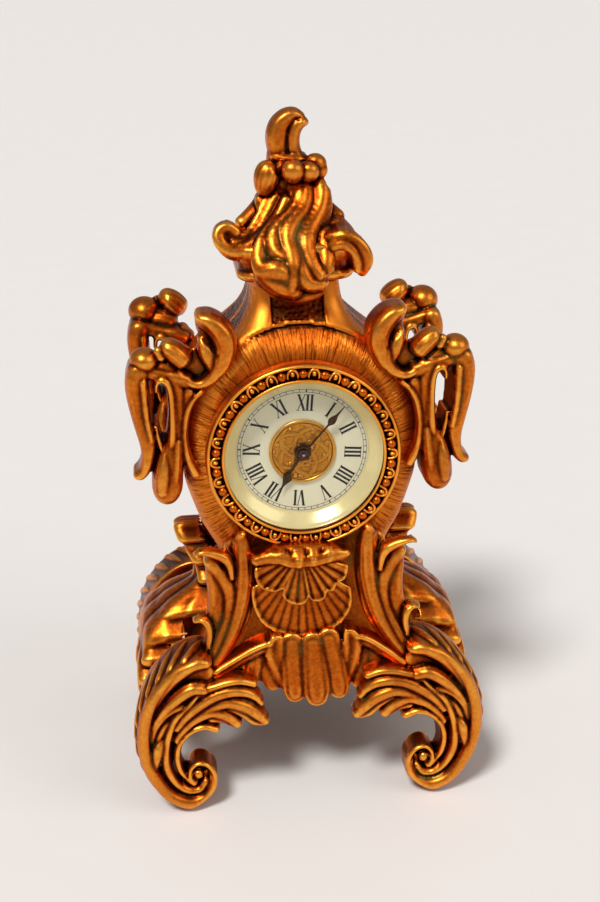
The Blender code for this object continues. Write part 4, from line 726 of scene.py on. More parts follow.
# Finial: strands, horn, knobs and leaves. The lift is the distance in front of the clock's middle.
finialStrands = {
    "fall1": [
        (612, 655, 1.3, 5), (648, 720, 1.5, 7), (636, 800, 1.7, 9), (580, 870, 1.8, 11), (508, 930, 1.9, 13),
        (452, 1000, 2.0, 15), (414, 1080, 2.1, 18), (402, 1160, 2.1, 20), (425, 1235, 2.2, 22),
        (482, 1292, 2.2, 23), (560, 1340, 2.3, 23.4), (640, 1372, 1.8, 23)],
    "fall2": [
        (668, 655, 1.2, 6), (692, 715, 1.5, 8), (674, 800, 1.7, 10), (614, 880, 1.8, 12.5),
        (547, 950, 1.9, 15), (506, 1020, 1.9, 17.5), (502, 1080, 1.8, 19.5), (530, 1130, 1.7, 21),
        (580, 1160, 1.6, 22), (602, 1172, 1.1, 22)],
    "fall3": [
        (722, 680, 1.5, 7), (731, 750, 1.7, 9), (704, 840, 1.9, 11.5), (650, 910, 2.0, 14),
        (602, 985, 2.1, 17), (598, 1060, 2.1, 19), (620, 1130, 2.1, 21), (634, 1210, 2.1, 23),
        (634, 1290, 1.9, 24), (622, 1350, 1.4, 24)],
    "fall4": [
        (770, 690, 1.5, 7), (779, 770, 1.7, 9), (753, 860, 1.9, 11.5), (706, 945, 2.0, 14.5),
        (673, 1030, 2.0, 17.5), (676, 1110, 1.9, 20), (690, 1190, 1.9, 22), (706, 1265, 1.8, 24),
        (750, 1325, 1.7, 24.5), (830, 1330, 1.2, 24)],
    "fall5": [
        (822, 640, 1.5, 6), (836, 720, 1.8, 8.5), (823, 810, 1.9, 10.5), (782, 900, 2.0, 13),
        (739, 985, 2.0, 16), (723, 1060, 1.9, 19), (736, 1140, 1.8, 21), (769, 1215, 1.6, 23),
        (816, 1270, 1.3, 24)],
    "fall6": [
        (860, 690, 1.2, 6), (865, 790, 1.5, 8.5), (838, 890, 1.7, 11), (801, 980, 1.7, 13.5),
        (786, 1060, 1.7, 16), (793, 1130, 1.6, 18.5), (816, 1200, 1.5, 20.5), (850, 1255, 1.2, 22)],
    "hook": [
        (396, 1170, 1.8, 20), (428, 1245, 2.0, 22.5), (515, 1240, 2.2, 24), (572, 1265, 1.7, 24.2),
        (600, 1312, 1.1, 24)],
    "swell": [
        (440, 1285, 2.8, 19), (560, 1352, 3.0, 19.5), (680, 1385, 2.8, 19.5), (780, 1365, 2.4, 19.5),
        (840, 1315, 1.6, 20)],
    "hornLeft": [
        (540, 462, 2.4, 2), (523, 380, 2.8, 2), (521, 300, 3.0, 2), (541, 222, 2.8, 2), (590, 165, 2.4, 2),
        (645, 144, 1.8, 2), (690, 160, 1.2, 2)],
    "hornRight": [
        (662, 462, 2.1, 2.6), (641, 380, 1.9, 2.6), (641, 300, 1.9, 2.6), (661, 235, 1.9, 2.6),
        (696, 202, 1.7, 2.6), (720, 206, 1.1, 2.6)],
    "hornRim": [
        (502, 455, 0.9, 0.4), (485, 370, 1.0, 0.4), (482, 290, 1.0, 0.4), (494, 228, 1.1, 0.4),
        (532, 172, 1.0, 0.4)],
    "hornCore": [
        (625, 560, 4.4, 0), (606, 500, 4.2, -0.5), (592, 450, 3.6, -1), (576, 350, 3.8, -1),
        (582, 260, 3.6, -1), (625, 195, 2.6, -1)],
    "hornCollar": [(500, 452, 1.2, 3.4), (580, 474, 1.3, 4.2), (660, 478, 1.3, 4.4), (712, 462, 1.1, 3.8)],
    "bean": [
        (515, 512, 2.8, 5.4), (468, 548, 3.9, 5.8), (448, 610, 4.0, 6.2), (430, 676, 2.9, 6),
        (414, 716, 1.9, 5.5)],
    "neckCore": [
        (610, 470, 4.4, 1.5), (620, 560, 5.0, 2.5), (690, 640, 5.0, 3), (700, 760, 5.0, 4),
        (680, 880, 6.0, 6)],
    "fallCore": [
        (720, 700, 5.4, 1), (722, 800, 6.0, 3), (680, 920, 6.6, 6), (620, 1040, 8.2, 9),
        (600, 1150, 9.2, 12), (620, 1250, 9.4, 14), (650, 1320, 7.0, 15)],
    "leafLeftLow": [
        (590, 760, 1.0, 9), (552, 850, 1.1, 11), (480, 950, 1.2, 13.5), (410, 1030, 1.3, 15.5),
        (310, 1098, 1.4, 17), (210, 1108, 1.4, 17.5), (142, 1062, 1.3, 17), (118, 1010, 1.3, 16),
        (138, 960, 1.4, 15), (190, 938, 1.4, 14.5), (244, 972, 1.3, 14.5)],
    "leafLeftHigh": [
        (470, 700, 1.1, 5), (404, 750, 1.1, 6), (416, 826, 1.1, 7), (398, 900, 1.1, 8.5),
        (345, 968, 1.2, 10.5), (286, 998, 1.2, 12.5)],
    "leafLeftFloor": [
        (545, 720, 3.0, 5), (492, 822, 3.6, 7), (430, 932, 3.5, 9.5), (350, 1025, 3.0, 12),
        (270, 1050, 2.6, 14), (200, 1045, 2.5, 15), (160, 1010, 2.2, 14.5)],
    "leafLeftVein": [
        (520, 740, 0.6, 7.4), (474, 840, 0.6, 9.4), (410, 945, 0.6, 12), (330, 1030, 0.6, 14.4),
        (240, 1052, 0.6, 16.6)],
    "leafLeftLine": [
        (560, 760, 0.5, 7.8), (520, 860, 0.5, 10), (450, 960, 0.5, 12.8), (370, 1050, 0.5, 15.2),
        (270, 1080, 0.5, 16.8)],
    "leafLeftUnder": [
        (400, 1060, 1.8, 13), (310, 1112, 2.0, 15), (225, 1118, 1.9, 16), (165, 1080, 1.6, 16)],
    "leafRightBack": [(850, 918, 2.2, 8), (920, 912, 2.4, 9), (990, 950, 2.0, 10)],
    "leafRightTop": [(850, 975, 2.2, 11), (930, 962, 2.3, 12), (1010, 990, 2.0, 13), (1066, 1022, 1.6, 14)],
    "leafRightOuter": [
        (880, 1060, 1.3, 17), (916, 1024, 1.6, 18), (980, 1010, 1.8, 18.6), (1058, 1040, 1.9, 19),
        (1116, 1100, 1.9, 19.4), (1136, 1170, 1.8, 19.4), (1108, 1236, 1.4, 19)],
    "leafRightFill": [
        (900, 1062, 1.3, 15), (980, 1042, 1.6, 16), (1060, 1086, 1.6, 17), (1104, 1150, 1.5, 17.4),
        (1104, 1226, 1.2, 17.4)],
    "leafRightInner": [
        (884, 1110, 0.9, 18.4), (920, 1070, 1.1, 19.4), (985, 1058, 1.1, 20), (1044, 1104, 1.1, 20.4),
        (1076, 1172, 1.0, 20.4), (1084, 1236, 0.8, 20)],
    "leafRightSide": [
        (858, 1000, 1.9, 15), (856, 1100, 2.1, 18), (862, 1190, 2.1, 20.5), (848, 1246, 1.6, 22)],
    "leafRightRoot": [(880, 1150, 2.2, 13), (960, 1140, 2.2, 13), (1020, 1180, 1.8, 14)],
}
# Groups of strands: names, crown height and widening.
finialGroups = {
    "mane": (("fall1", "fall2", "fall3", "fall4", "fall5", "fall6", "hook", "swell"), 0.62, 1.2),
    "maneFloor": (("fallCore", "neckCore"), 0.25, 1.0),
    "horn": (("hornLeft", "hornRight", "hornRim", "hornCollar"), 0.7, 1.1),
    "hornFloor": (("hornCore",), 0.2, 1.0),
    "leafFloor": (
        ("leafLeftFloor", "leafLeftUnder", "leafRightRoot", "leafRightFill", "leafRightBack"),
        0.25,
        1.15,
    ),
    "leafEdge": (
        (
            "leafLeftLow", "leafLeftHigh", "leafLeftVein", "leafLeftLine", "leafRightTop", "leafRightOuter",
            "leafRightInner", "leafRightSide"),
        0.6,
        1.2,
    ),
}
finialBalls = [
    (632, 554, 3.7, 8.0), (560, 540, 2.8, 5.0), (742, 556, 3.3, 7.0), (712, 548, 2.8, 7.0),
    (784, 506, 3.7, 4.0), (806, 544, 3.0, 4.4),
]
# Rows in mm: the mane's back and the leaves that fall over the rear of the plinth.
finialBack = [
    [
        (0.0, 1.0, 188.0, 8.0), (-0.5, 1.0, 194.0, 7.0), (-1.5, 0.6, 200.0, 6.0), (-2.5, 0.4, 206.0, 5.4),
        (-3.2, 0.2, 212.0, 4.4), (-4.0, 0.0, 218.0, 3.2)],
    [
        (-1.0, 3.0, 206.0, 1.8), (-1.0, 6.5, 201.0, 2.6), (0.0, 10.0, 195.5, 3.2), (0.5, 14.5, 191.5, 2.8),
        (0.8, 18.0, 190.5, 1.8)],
    [
        (-3.0, 2.6, 203.0, 1.6), (-6.5, 6.0, 198.0, 2.4), (-10.0, 9.5, 193.5, 2.8),
        (-13.0, 12.5, 191.2, 2.4), (-15.5, 15.0, 190.6, 1.5)],
    [
        (2.0, 2.6, 203.0, 1.6), (6.5, 6.0, 198.0, 2.4), (10.5, 9.5, 193.5, 2.8), (13.5, 12.5, 191.2, 2.4),
        (16.0, 15.0, 190.6, 1.5)],
    [(-3.4, 1.0, 199.0, 1.8), (-9.0, 2.5, 194.0, 2.6), (-13.5, 4.0, 191.5, 2.6), (-17.5, 5.5, 190.8, 1.8)],
    [(2.4, 1.0, 199.0, 1.8), (9.0, 2.5, 194.0, 2.6), (13.5, 4.0, 191.5, 2.6), (17.5, 5.5, 190.8, 1.8)],
    [
        (-3.5, 1.5, 210.0, 2.2), (-7.0, -0.5, 204.0, 2.6), (-10.0, -2.5, 199.0, 2.6),
        (-14.0, -5.0, 195.5, 2.4), (-18.0, -7.5, 193.5, 1.8)],
    [(2.5, 1.0, 206.0, 2.2), (7.0, -1.5, 201.0, 2.6), (11.5, -4.5, 197.0, 2.6), (16.0, -7.5, 194.0, 2.0)],
    [
        (0.0, 4.5, 212.0, 1.2), (-0.5, 5.2, 206.0, 1.8), (-3.5, 6.8, 199.0, 2.2), (-6.0, 10.5, 193.0, 2.2),
        (-7.5, 15.0, 190.8, 1.6)],
    [
        (-1.0, 4.5, 210.0, 1.2), (1.5, 5.4, 204.0, 1.8), (4.0, 7.6, 198.0, 2.2), (6.5, 11.0, 192.8, 2.2),
        (8.2, 15.4, 190.8, 1.6)],
]
# Stems that join the knobs to the neck.
finialJoins = [
    [(515, 525, 2.4, 4), (580, 560, 3.0, 3.5), (660, 600, 3.4, 3)],
    [(660, 600, 3.4, 3), (720, 560, 3.0, 3), (785, 520, 2.2, 3.4)],
    [(560, 440, 3.0, 1), (600, 520, 3.6, 1.5), (640, 600, 4.0, 2)],
    [(420, 700, 1.6, 4.6), (470, 660, 2.2, 4.2), (540, 610, 2.6, 4)],
]
# Above lowerFrom the finial is brought down a little, to the height of the casting.
finialCasting = {
    "middle": 0.6, "skin": 0.35, "ballDeepShare": 0.95, "backDeep": 0.9, "backCrest": 0.3,
    "lowerFrom": 211, "lowerOver": 17, "lowerBy": 1.0,
}
finialEdges = {
    "mane": {"back": 8.0, "thick": 9.0},
    "horn": {"back": finialCasting["middle"], "step": 0.3, "blur": 1, "edgeWidth": 2.0, "edgeDrop": 2.0},
    "leaf": {"back": 6.0, "thick": 4.5},
}


def finialGroup(label):
    names, bulge, wider = finialGroups[label]
    return strokes("finial", {name: finialStrands[name] for name in names}, 0, bulge, None, wider)


def lowered(verts):
    verts = np.array(verts, float)
    share = np.clip((verts[:, 2] - finialCasting["lowerFrom"]) / finialCasting["lowerOver"], 0, 1)
    verts[:, 2] -= finialCasting["lowerBy"] * share
    return verts


def finialParts():
    horn = carved(finialGroup("horn") + finialGroup("hornFloor"), **finialEdges["horn"])
    parts = [carved(finialGroup("mane") + finialGroup("maneFloor"), **finialEdges["mane"]), horn]
    parts.append(carved(finialGroup("leafFloor") + finialGroup("leafEdge"), **finialEdges["leaf"]))
    parts += turnedOver([horn], finialCasting["middle"])
    parts.append(strand(traced("finial", finialStrands["bean"], 0)))
    for x, y, z, radius in traced("finial", finialBalls, 0):
        parts.append(ball((x, y, z), (radius, radius * finialCasting["ballDeepShare"], radius)))
    parts += [strand(rows, finialCasting["backDeep"], finialCasting["backCrest"]) for rows in finialBack]
    parts += [strand(traced("finial", rows, 0)) for rows in finialJoins]
    return [(lowered(verts), faces) for verts, faces in parts]


finialCast = cast("finialCast", finialParts(), finialCasting["skin"])
markRelief(finialCast)
print("finial", len(finialCast.data.polygons))

# Shell panel at the front: lip, small fan and large shell. Below it, the apron with its folds and buds.
lipStrands = {
    "lip": [
        (300, 352, 1.2, 6.0), (400, 326, 1.5, 6.6), (500, 326, 1.7, 7.2), (600, 356, 1.8, 7.6),
        (680, 352, 1.6, 7.6), (770, 346, 1.7, 7.5), (850, 328, 1.7, 7.2), (930, 302, 1.6, 6.8),
        (1000, 288, 1.4, 6.2), (1042, 272, 1.0, 5.6)],
    "lipBack": [
        (300, 318, 1.8, 3.6), (450, 280, 2.3, 4.2), (690, 264, 2.6, 4.4), (900, 258, 2.4, 4.2),
        (1036, 275, 1.8, 3.6)],
    "scallop1": [(505, 300, 1.5, 6.0), (520, 345, 1.2, 7.6), (560, 375, 0.8, 7.8)],
    "scallop2": [(640, 300, 2.0, 6.2), (650, 350, 1.8, 7.9), (655, 378, 1.2, 7.9)],
    "scallop3": [(770, 290, 1.8, 6.2), (772, 340, 1.6, 7.8), (770, 366, 1.0, 7.8)],
    "scallop4": [(900, 270, 1.6, 5.8), (905, 312, 1.4, 7.4), (905, 332, 0.9, 7.4)],
    "scallop5": [(420, 300, 1.4, 5.6), (440, 335, 1.2, 7.0), (470, 352, 0.8, 7.2)],
}
apronStrands = {
    "skirtLeft": [
        (590, 1020, 3.0, 0.5), (600, 1150, 3.2, 1.6), (608, 1280, 3.2, 2.6), (617, 1390, 3.1, 3.4),
        (621, 1432, 2.6, 3.6)],
    "skirtMiddle": [
        (765, 1020, 3.2, 0.8), (776, 1150, 3.5, 2.0), (788, 1280, 3.6, 3.2), (798, 1400, 3.5, 4.0),
        (803, 1455, 2.9, 4.2)],
    "skirtRight": [
        (895, 980, 3.0, 0.5), (925, 1120, 3.2, 1.6), (955, 1260, 3.1, 2.6), (978, 1365, 3.0, 3.2),
        (985, 1402, 2.5, 3.4)],
    "foldLeft": [(470, 1005, 1.9, 1.5), (478, 1120, 2.1, 1.6), (508, 1240, 1.6, 1.8), (532, 1345, 0.9, 1.8)],
    "foldLeftRim": [
        (440, 985, 0.7, 2.6), (405, 1050, 0.7, 2.8), (412, 1120, 0.7, 2.8), (446, 1210, 0.7, 2.8),
        (492, 1300, 0.7, 2.8), (536, 1368, 0.6, 2.6)],
    "foldRight": [
        (1075, 950, 1.8, 1.5), (1082, 1080, 1.9, 1.6), (1068, 1200, 1.5, 1.8), (1050, 1310, 0.9, 1.8)],
    "foldRightRim": [
        (1096, 930, 0.7, 2.6), (1132, 970, 0.7, 2.8), (1130, 1070, 0.7, 2.8), (1112, 1170, 0.7, 2.8),
        (1056, 1310, 0.6, 2.6)],
    "foldRightMid": [(1045, 925, 0.6, 2.4), (1048, 1040, 0.6, 2.6), (1040, 1160, 0.6, 2.6)],
    "budLeft": [(372, 1130, 2.2, -0.5), (410, 1260, 2.7, 0.8), (436, 1345, 2.3, 1.0)],
    "budLeftOut": [(290, 1100, 3.0, -0.5), (282, 1200, 3.1, 0.4), (270, 1290, 2.5, 0.6)],
    "budRight": [(1180, 1080, 2.2, -0.5), (1165, 1220, 2.7, 0.8), (1152, 1325, 2.2, 1.0)],
    "budRightOut": [(1262, 1090, 2.8, -0.5), (1268, 1190, 2.6, 0.4), (1262, 1240, 2.2, 0.6)],
}
mouldings = {
    "left": [
        (414, 1024, 0.8, 2.4), (350, 1040, 0.9, 2.6), (250, 1086, 0.9, 2.8), (150, 1145, 0.9, 3.2),
        (60, 1200, 0.9, 3.8), (-40, 1262, 0.9, 4.6)],
    "leftLow": [
        (410, 1060, 0.6, 1.8), (350, 1076, 0.7, 2.0), (250, 1122, 0.7, 2.2), (150, 1181, 0.7, 2.6),
        (60, 1236, 0.7, 3.2), (-40, 1298, 0.7, 4.0)],
    "right": [
        (1134, 962, 0.8, 2.4), (1200, 976, 0.9, 2.6), (1270, 1010, 0.9, 2.8), (1350, 1060, 0.9, 3.4),
        (1440, 1118, 0.9, 4.2), (1520, 1180, 0.9, 5.0)],
    "rightLow": [
        (1140, 1000, 0.6, 1.8), (1200, 1012, 0.7, 2.0), (1270, 1046, 0.7, 2.2), (1350, 1096, 0.7, 2.8),
        (1440, 1154, 0.7, 3.6), (1520, 1216, 0.7, 4.4)],
}
apronFloor = {
    "middle": [
        (300, 1110, 3.4, -0.4), (480, 1120, 5.4, 0.2), (640, 1170, 6.8, 0.8), (790, 1190, 7.4, 1.2),
        (930, 1150, 6.8, 0.8), (1090, 1100, 5.4, 0.2), (1270, 1110, 3.4, -0.4)],
    "left": [
        (420, 1080, 2.8, -0.2), (330, 1130, 3.2, -0.4), (230, 1180, 3.0, -0.4), (130, 1230, 2.4, 0.2),
        (40, 1270, 1.8, 1.0), (-40, 1300, 1.4, 2.0)],
    "right": [
        (1150, 1020, 2.8, -0.2), (1230, 1060, 3.2, -0.4), (1310, 1110, 3.0, -0.4), (1390, 1150, 2.4, 0.2),
        (1460, 1190, 1.8, 1.0), (1520, 1215, 1.4, 2.0)],
}
# Outlines run from left to right. Lifts are at the hinge and at the edge.
fans = {
    "largeShell": {
        "hinge": (672, 330), "lifts": (0.4, 4.2), "flutes": 15, "fluteHeight": 0.34, "rimHeight": 0.55,
        "outline": [
            (262, 560), (262, 640), (282, 740), (340, 850), (430, 915), (520, 950), (600, 985), (680, 975),
            (750, 992), (840, 965), (920, 915), (1000, 850), (1062, 770), (1090, 680), (1082, 560)],
    },
    "smallFan": {
        "hinge": (668, 262), "lifts": (4.2, 6.9), "flutes": 13, "fluteHeight": 0.85, "rimHeight": 0.3,
        "outline": [
            (285, 400), (290, 480), (330, 560), (400, 590), (455, 596), (522, 575), (512, 612), (532, 654),
            (578, 690), (642, 705), (702, 690), (735, 636), (766, 672), (830, 673), (870, 642), (885, 598),
            (942, 585), (966, 530), (1030, 490), (1054, 430), (1060, 370)],
    },
}
fanShape = {
    "spacing": 9.0, "insideShares": (0.12, 0.9, 16), "rimShares": (0.92, 1.0, 6), "sideDrop": 1.6,
    "flutePower": 0.6, "rimShare": 0.97, "rimWidth": 0.035, "thick": 1.6, "hingeThicker": 2.2,
}
panel = {
    "shellFace": -30.4, "lipBehind": 2.6, "lipThick": 6.0, "lipBulge": 0.55,
    "apronFace": -36.2, "apronBack": -31.5, "skin": 0.35,
}
apronStyle = {
    "floor": {"bulge": 0.05},
    "lobes": {
        "bulge": 0.32, "wider": 1.3, "shallower": 0.7,
        "flutes": {
            "skirtLeft": 3, "skirtMiddle": 3, "skirtRight": 3, "foldLeft": 2, "foldRight": 2,
            "budLeftOut": 3, "budRightOut": 3,
        },
    },
    "mouldings": {"bulge": 0.8, "wider": 1.1, "shallower": 0.8},
}


def fanPlate(fan):
    left, top, scale = closeViews["shell"]
    hinge, liftStart, liftEnd = fan["hinge"], *fan["lifts"]
    edge = smoothRows([(x, y, 0, 1) for x, y in fan["outline"]], fanShape["spacing"])[:, :2]
    front, back = [], []
    for r in (*np.linspace(*fanShape["insideShares"]), *np.linspace(*fanShape["rimShares"])):
        rowFront, rowBack = [], []
        for place, (ex, ey) in enumerate(edge):
            t = place / (len(edge) - 1)
            x, y = hinge[0] + (ex - hinge[0]) * r, hinge[1] + (ey - hinge[1]) * r
            sideways = (2 * t - 1) ** 2
            lift = liftStart + (liftEnd - liftStart) * math.sin(r * math.pi / 2)
            lift -= fanShape["sideDrop"] * sideways * r
            flute = abs(math.sin(math.pi * fan["flutes"] * t)) ** fanShape["flutePower"]
            lift += fan["fluteHeight"] * r * flute
            fromRim = (r - fanShape["rimShare"]) / fanShape["rimWidth"]
            lift += fan["rimHeight"] * math.exp(-fromRim ** 2)
            point = onPlane(left + x / scale, top + y / scale, panel["shellFace"] - lift)
            rowFront.append(tuple(point))
            behind = point.y + fanShape["thick"] + fanShape["hingeThicker"] * (1 - r)
            rowBack.append((point.x, behind, point.z))
        front.append(rowFront)
        back.append(rowBack)
    return slab(front, back)


def shellParts():
    lip = strokes("shell", lipStrands, panel["shellFace"], panel["lipBulge"])
    lip = carved(lip, panel["shellFace"] + panel["lipBehind"], panel["lipThick"])
    return [lip] + [fanPlate(fan) for fan in fans.values()]


def apronParts():
    laid = []
    for table, style in ((apronFloor, "floor"), (apronStrands, "lobes"), (mouldings, "mouldings")):
        laid += strokes("shell", table, panel["apronFace"], **apronStyle[style])
    return [carved(laid, panel["apronBack"])]


frontShell = cast("frontShellCast", shellParts(), panel["skin"])
frontSkirt = cast("frontSkirtCast", apronParts(), panel["skin"])
markRelief(frontShell)
markRelief(frontSkirt)
backSkirt = mirrored(frontSkirt, "backSkirtCast", False, True)
print("front panel", len(frontShell.data.polygons), len(frontSkirt.data.polygons))

# Side leaves: each is carved outwards from the flank.
# Profile rows are height and distance from the middle of the clock, half rows height and half width.
# Lobes: height of the root and of the tip, reach to each side, half width, lift of the tip.
# Floors: place across, as a share of the half width, and lift. Lobe shares are places from root to tip.
sideLeaf = {
    "profile": [
        (22.5, 52.0), (26.0, 55.2), (31.0, 56.7), (36.5, 56.5), (42.0, 56.1), (45.5, 54.6), (50.0, 50.4),
        (54.5, 46.6), (59.5, 41.0), (63.0, 37.4), (67.0, 35.4), (72.5, 34.8), (77.0, 36.0), (81.0, 38.0),
        (86.0, 40.6), (88.0, 41.4)],
    "halves": [
        (22.5, 5.0), (26.0, 10.0), (31.0, 15.5), (37.0, 18.0), (43.0, 18.5), (49.0, 17.0), (55.0, 14.0),
        (60.0, 10.5), (66.0, 7.4), (74.0, 6.4), (82.0, 6.0), (88.0, 4.0)],
    "lobes": [
        (88.0, 85.0, 5.4, 1.7, 1.6), (81.0, 77.0, 7.0, 1.7, 1.4), (74.0, 69.5, 7.6, 1.6, 1.2),
        (66.5, 60.0, 11.5, 2.4, 1.6), (60.0, 52.5, 15.0, 2.7, 1.8), (53.0, 45.5, 18.0, 2.7, 1.8),
        (46.0, 38.5, 19.5, 2.6, 1.8), (39.0, 31.5, 18.5, 2.6, 1.6), (32.0, 26.0, 14.0, 2.4, 1.4),
        (26.5, 21.5, 7.5, 2.2, 1.0)],
    "lobeShares": (0.08, 0.3, 0.55, 0.8, 1.0), "floors": ((0.0, 0.0), (-0.5, -0.2), (0.5, -0.2)),
    "stemHeights": (24, 32, 42, 52, 62, 72, 80, 87), "stem": (1.5, 0.9, 0.7),
    "spacing": 0.6, "fall": 2.4, "widthSpare": 2, "arch": 1.2, "leastFloor": 2.4,
    "floorBulge": 0.06, "lobeBulge": 0.75, "veinBulge": 0.9, "back": -20.0, "skin": 0.44,
    "edges": {"thick": 7.0, "step": 0.35, "blur": 4, "edgeWidth": 1.8, "edgeDrop": 1.8},
}


sideCurve = smoothRows([(height, out, 0, 1) for height, out in sideLeaf["profile"]], sideLeaf["spacing"])
sideWidths = smoothRows([(height, half, 0, 1) for height, half in sideLeaf["halves"]], sideLeaf["spacing"])


def sideRow(across, height, half, lift):
    wide = np.interp(height, sideWidths[:, 0], sideWidths[:, 1])
    out = np.interp(height, sideCurve[:, 0], sideCurve[:, 1])
    out = out - sideLeaf["fall"] * (across / (wide + sideLeaf["widthSpare"])) ** 2 + lift
    return (across, -out, height, half)


def lobeRows(side, root, tip, reach, half, lift):
    rows = []
    for s in sideLeaf["lobeShares"]:
        height = root + (tip - root) * s**1.6 + sideLeaf["arch"] * math.sin(s * math.pi)
        rows.append(sideRow(side * reach * s, height, half * (0.55 + 0.45 * s), lift * (0.2 + 0.8 * s)))
    return rows


def sideParts():
    laid = []
    for share, lift in sideLeaf["floors"]:
        rows = []
        for height, wide in sideWidths[::3, :2]:
            rows.append(sideRow(wide * share, height, max(wide * 0.5, sideLeaf["leastFloor"]), lift))
        laid.append((rows, sideLeaf["floorBulge"], 0))
    stemHalf, stemLift, stemBulge = sideLeaf["stem"]
    stem = [sideRow(0, height, stemHalf, stemLift) for height in sideLeaf["stemHeights"]]
    laid.append((stem, stemBulge, 0))
    for root, tip, reach, half, lift in sideLeaf["lobes"]:
        for side in (1, -1):
            rows = lobeRows(side, root, tip, reach, half, lift)
            laid.append((rows, sideLeaf["lobeBulge"], 0))
            # A vein along the lobe's lower edge.
            below, raised, veinHalf = half * 0.95, 0.2, 0.5
            vein = [(x, y - raised, z - below, veinHalf) for x, y, z, _ in rows[:4]]
            laid.append((vein, sideLeaf["veinBulge"], 0))
    verts, faces = carved(laid, sideLeaf["back"], **sideLeaf["edges"])
    return [(verts[:, [1, 0, 2]], faces)]


sideLeft = cast("sideLeafLeftCast", sideParts(), sideLeaf["skin"])
markRelief(sideLeft)
sideRight = mirrored(sideLeft, "sideLeafRightCast", True, False)
print("side leaf", len(sideLeft.data.polygons))

# Case casting: two half shells with a seam, hollow, with a raised arch band and neck strips.
body = {
    "base": 45.0, "top": 176.5, "halfWidth": 39.5, "halfDepth": 27.0, "wall": 2.2, "seam": 0.3,
    "dialHeight": 123.3, "bore": 27.4, "boreReach": 60, "boreSteps": 128, "fieldReach": 0.8,
    "rows": 200, "sideSteps": 26, "cornerSteps": 9, "frontSteps": 110,
    "bandLow": 40.8, "bandHigh": 41.7, "bandRaise": 0.9, "stripInner": 8.4, "grooveDepth": 0.7,
    "archRise": 4.0,
}
# Rows: share of the height, shares of half width and of half depth, and rounding of the corners.
bodyRows = [
    (0.000, 1.04, 1.32, 0.34), (0.100, 0.87, 1.18, 0.34), (0.225, 0.67, 1.05, 0.34),
    (0.295, 0.66, 1.01, 0.34), (0.355, 0.76, 1.00, 0.34), (0.420, 0.88, 1.00, 0.34),
    (0.520, 0.985, 1.00, 0.34), (0.680, 0.990, 1.00, 0.34), (0.765, 0.91, 1.00, 0.34),
    (0.820, 0.76, 0.98, 0.36), (0.862, 0.58, 0.92, 0.38), (0.900, 0.45, 0.74, 0.40),
    (0.945, 0.375, 0.58, 0.40), (1.000, 0.355, 0.53, 0.40)]
# Outer edge of the neck's plain strips: height and distance from the middle.
stripEdge = [
    (145.0, 40.0), (150.0, 35.0), (156.0, 26.5), (160.0, 21.8), (164.0, 18.4), (168.0, 15.8), (172.0, 14.2),
    (177.0, 13.6),
]
# Where each field of the case's surface begins and is full. Heights and distances in mm.
caseFields = {
    "frontTurn": (0.3, 0.9), "archTurn": (0.5, 1.0), "archHalf": 34.0, "footRise": 22,
    "stripFade": (-0.4, 0.4), "panelFade": (-0.3, 0.3), "bandFade": 0.5, "panelStart": 0.4,
    "stripHeights": (140, 146), "grooveHeights": (145, 150), "grooveIn": 0.35, "grooveWidth": 0.3,
    "neckHeights": (148, 152), "sideHeights": (97, 101), "sideTop": 150, "sideTopFade": 4,
    "sideEdge": 2, "sideDrop": 0.5, "pebbleRadii": (41, 42), "backPebbles": (150, 154), "backShare": 0.6,
}


# Width, depth and rounding at each row, eased over the rows next to it.
def easedBody(shares):
    reach = 9
    kernel = np.exp(-(np.arange(-reach, reach + 1) / (reach / 2)) ** 2)
    kernel /= kernel.sum()
    table = np.array(bodyRows)
    eased = []
    for column in (1, 2, 3):
        line = np.interp(shares, table[:, 0], table[:, column])
        before, after = 2 * line[0] - line[reach:0:-1], 2 * line[-1] - line[-2:-2 - reach:-1]
        eased.append(np.convolve(np.concatenate([before, line, after]), kernel, "valid"))
    return np.transpose(eased)


# One row of the skin, from seam to seam: x, y and the direction outwards.
def caseRing(w, d, r):
    ring = [(w, y, 1, 0) for y in np.linspace(body["seam"] / 2, d - r, body["sideSteps"], endpoint=False)]
    for a in np.linspace(0, math.pi / 2, body["cornerSteps"], endpoint=False):
        ring.append((w - r + r * math.cos(a), d - r + r * math.sin(a), math.cos(a), math.sin(a)))
    ring += [(x, d, 0, 1) for x in np.linspace(w - r, 0, body["frontSteps"] // 2 + 1)]
    return np.array(ring + [(-x, y, -nx, ny) for x, y, nx, ny in reversed(ring[:-1])])


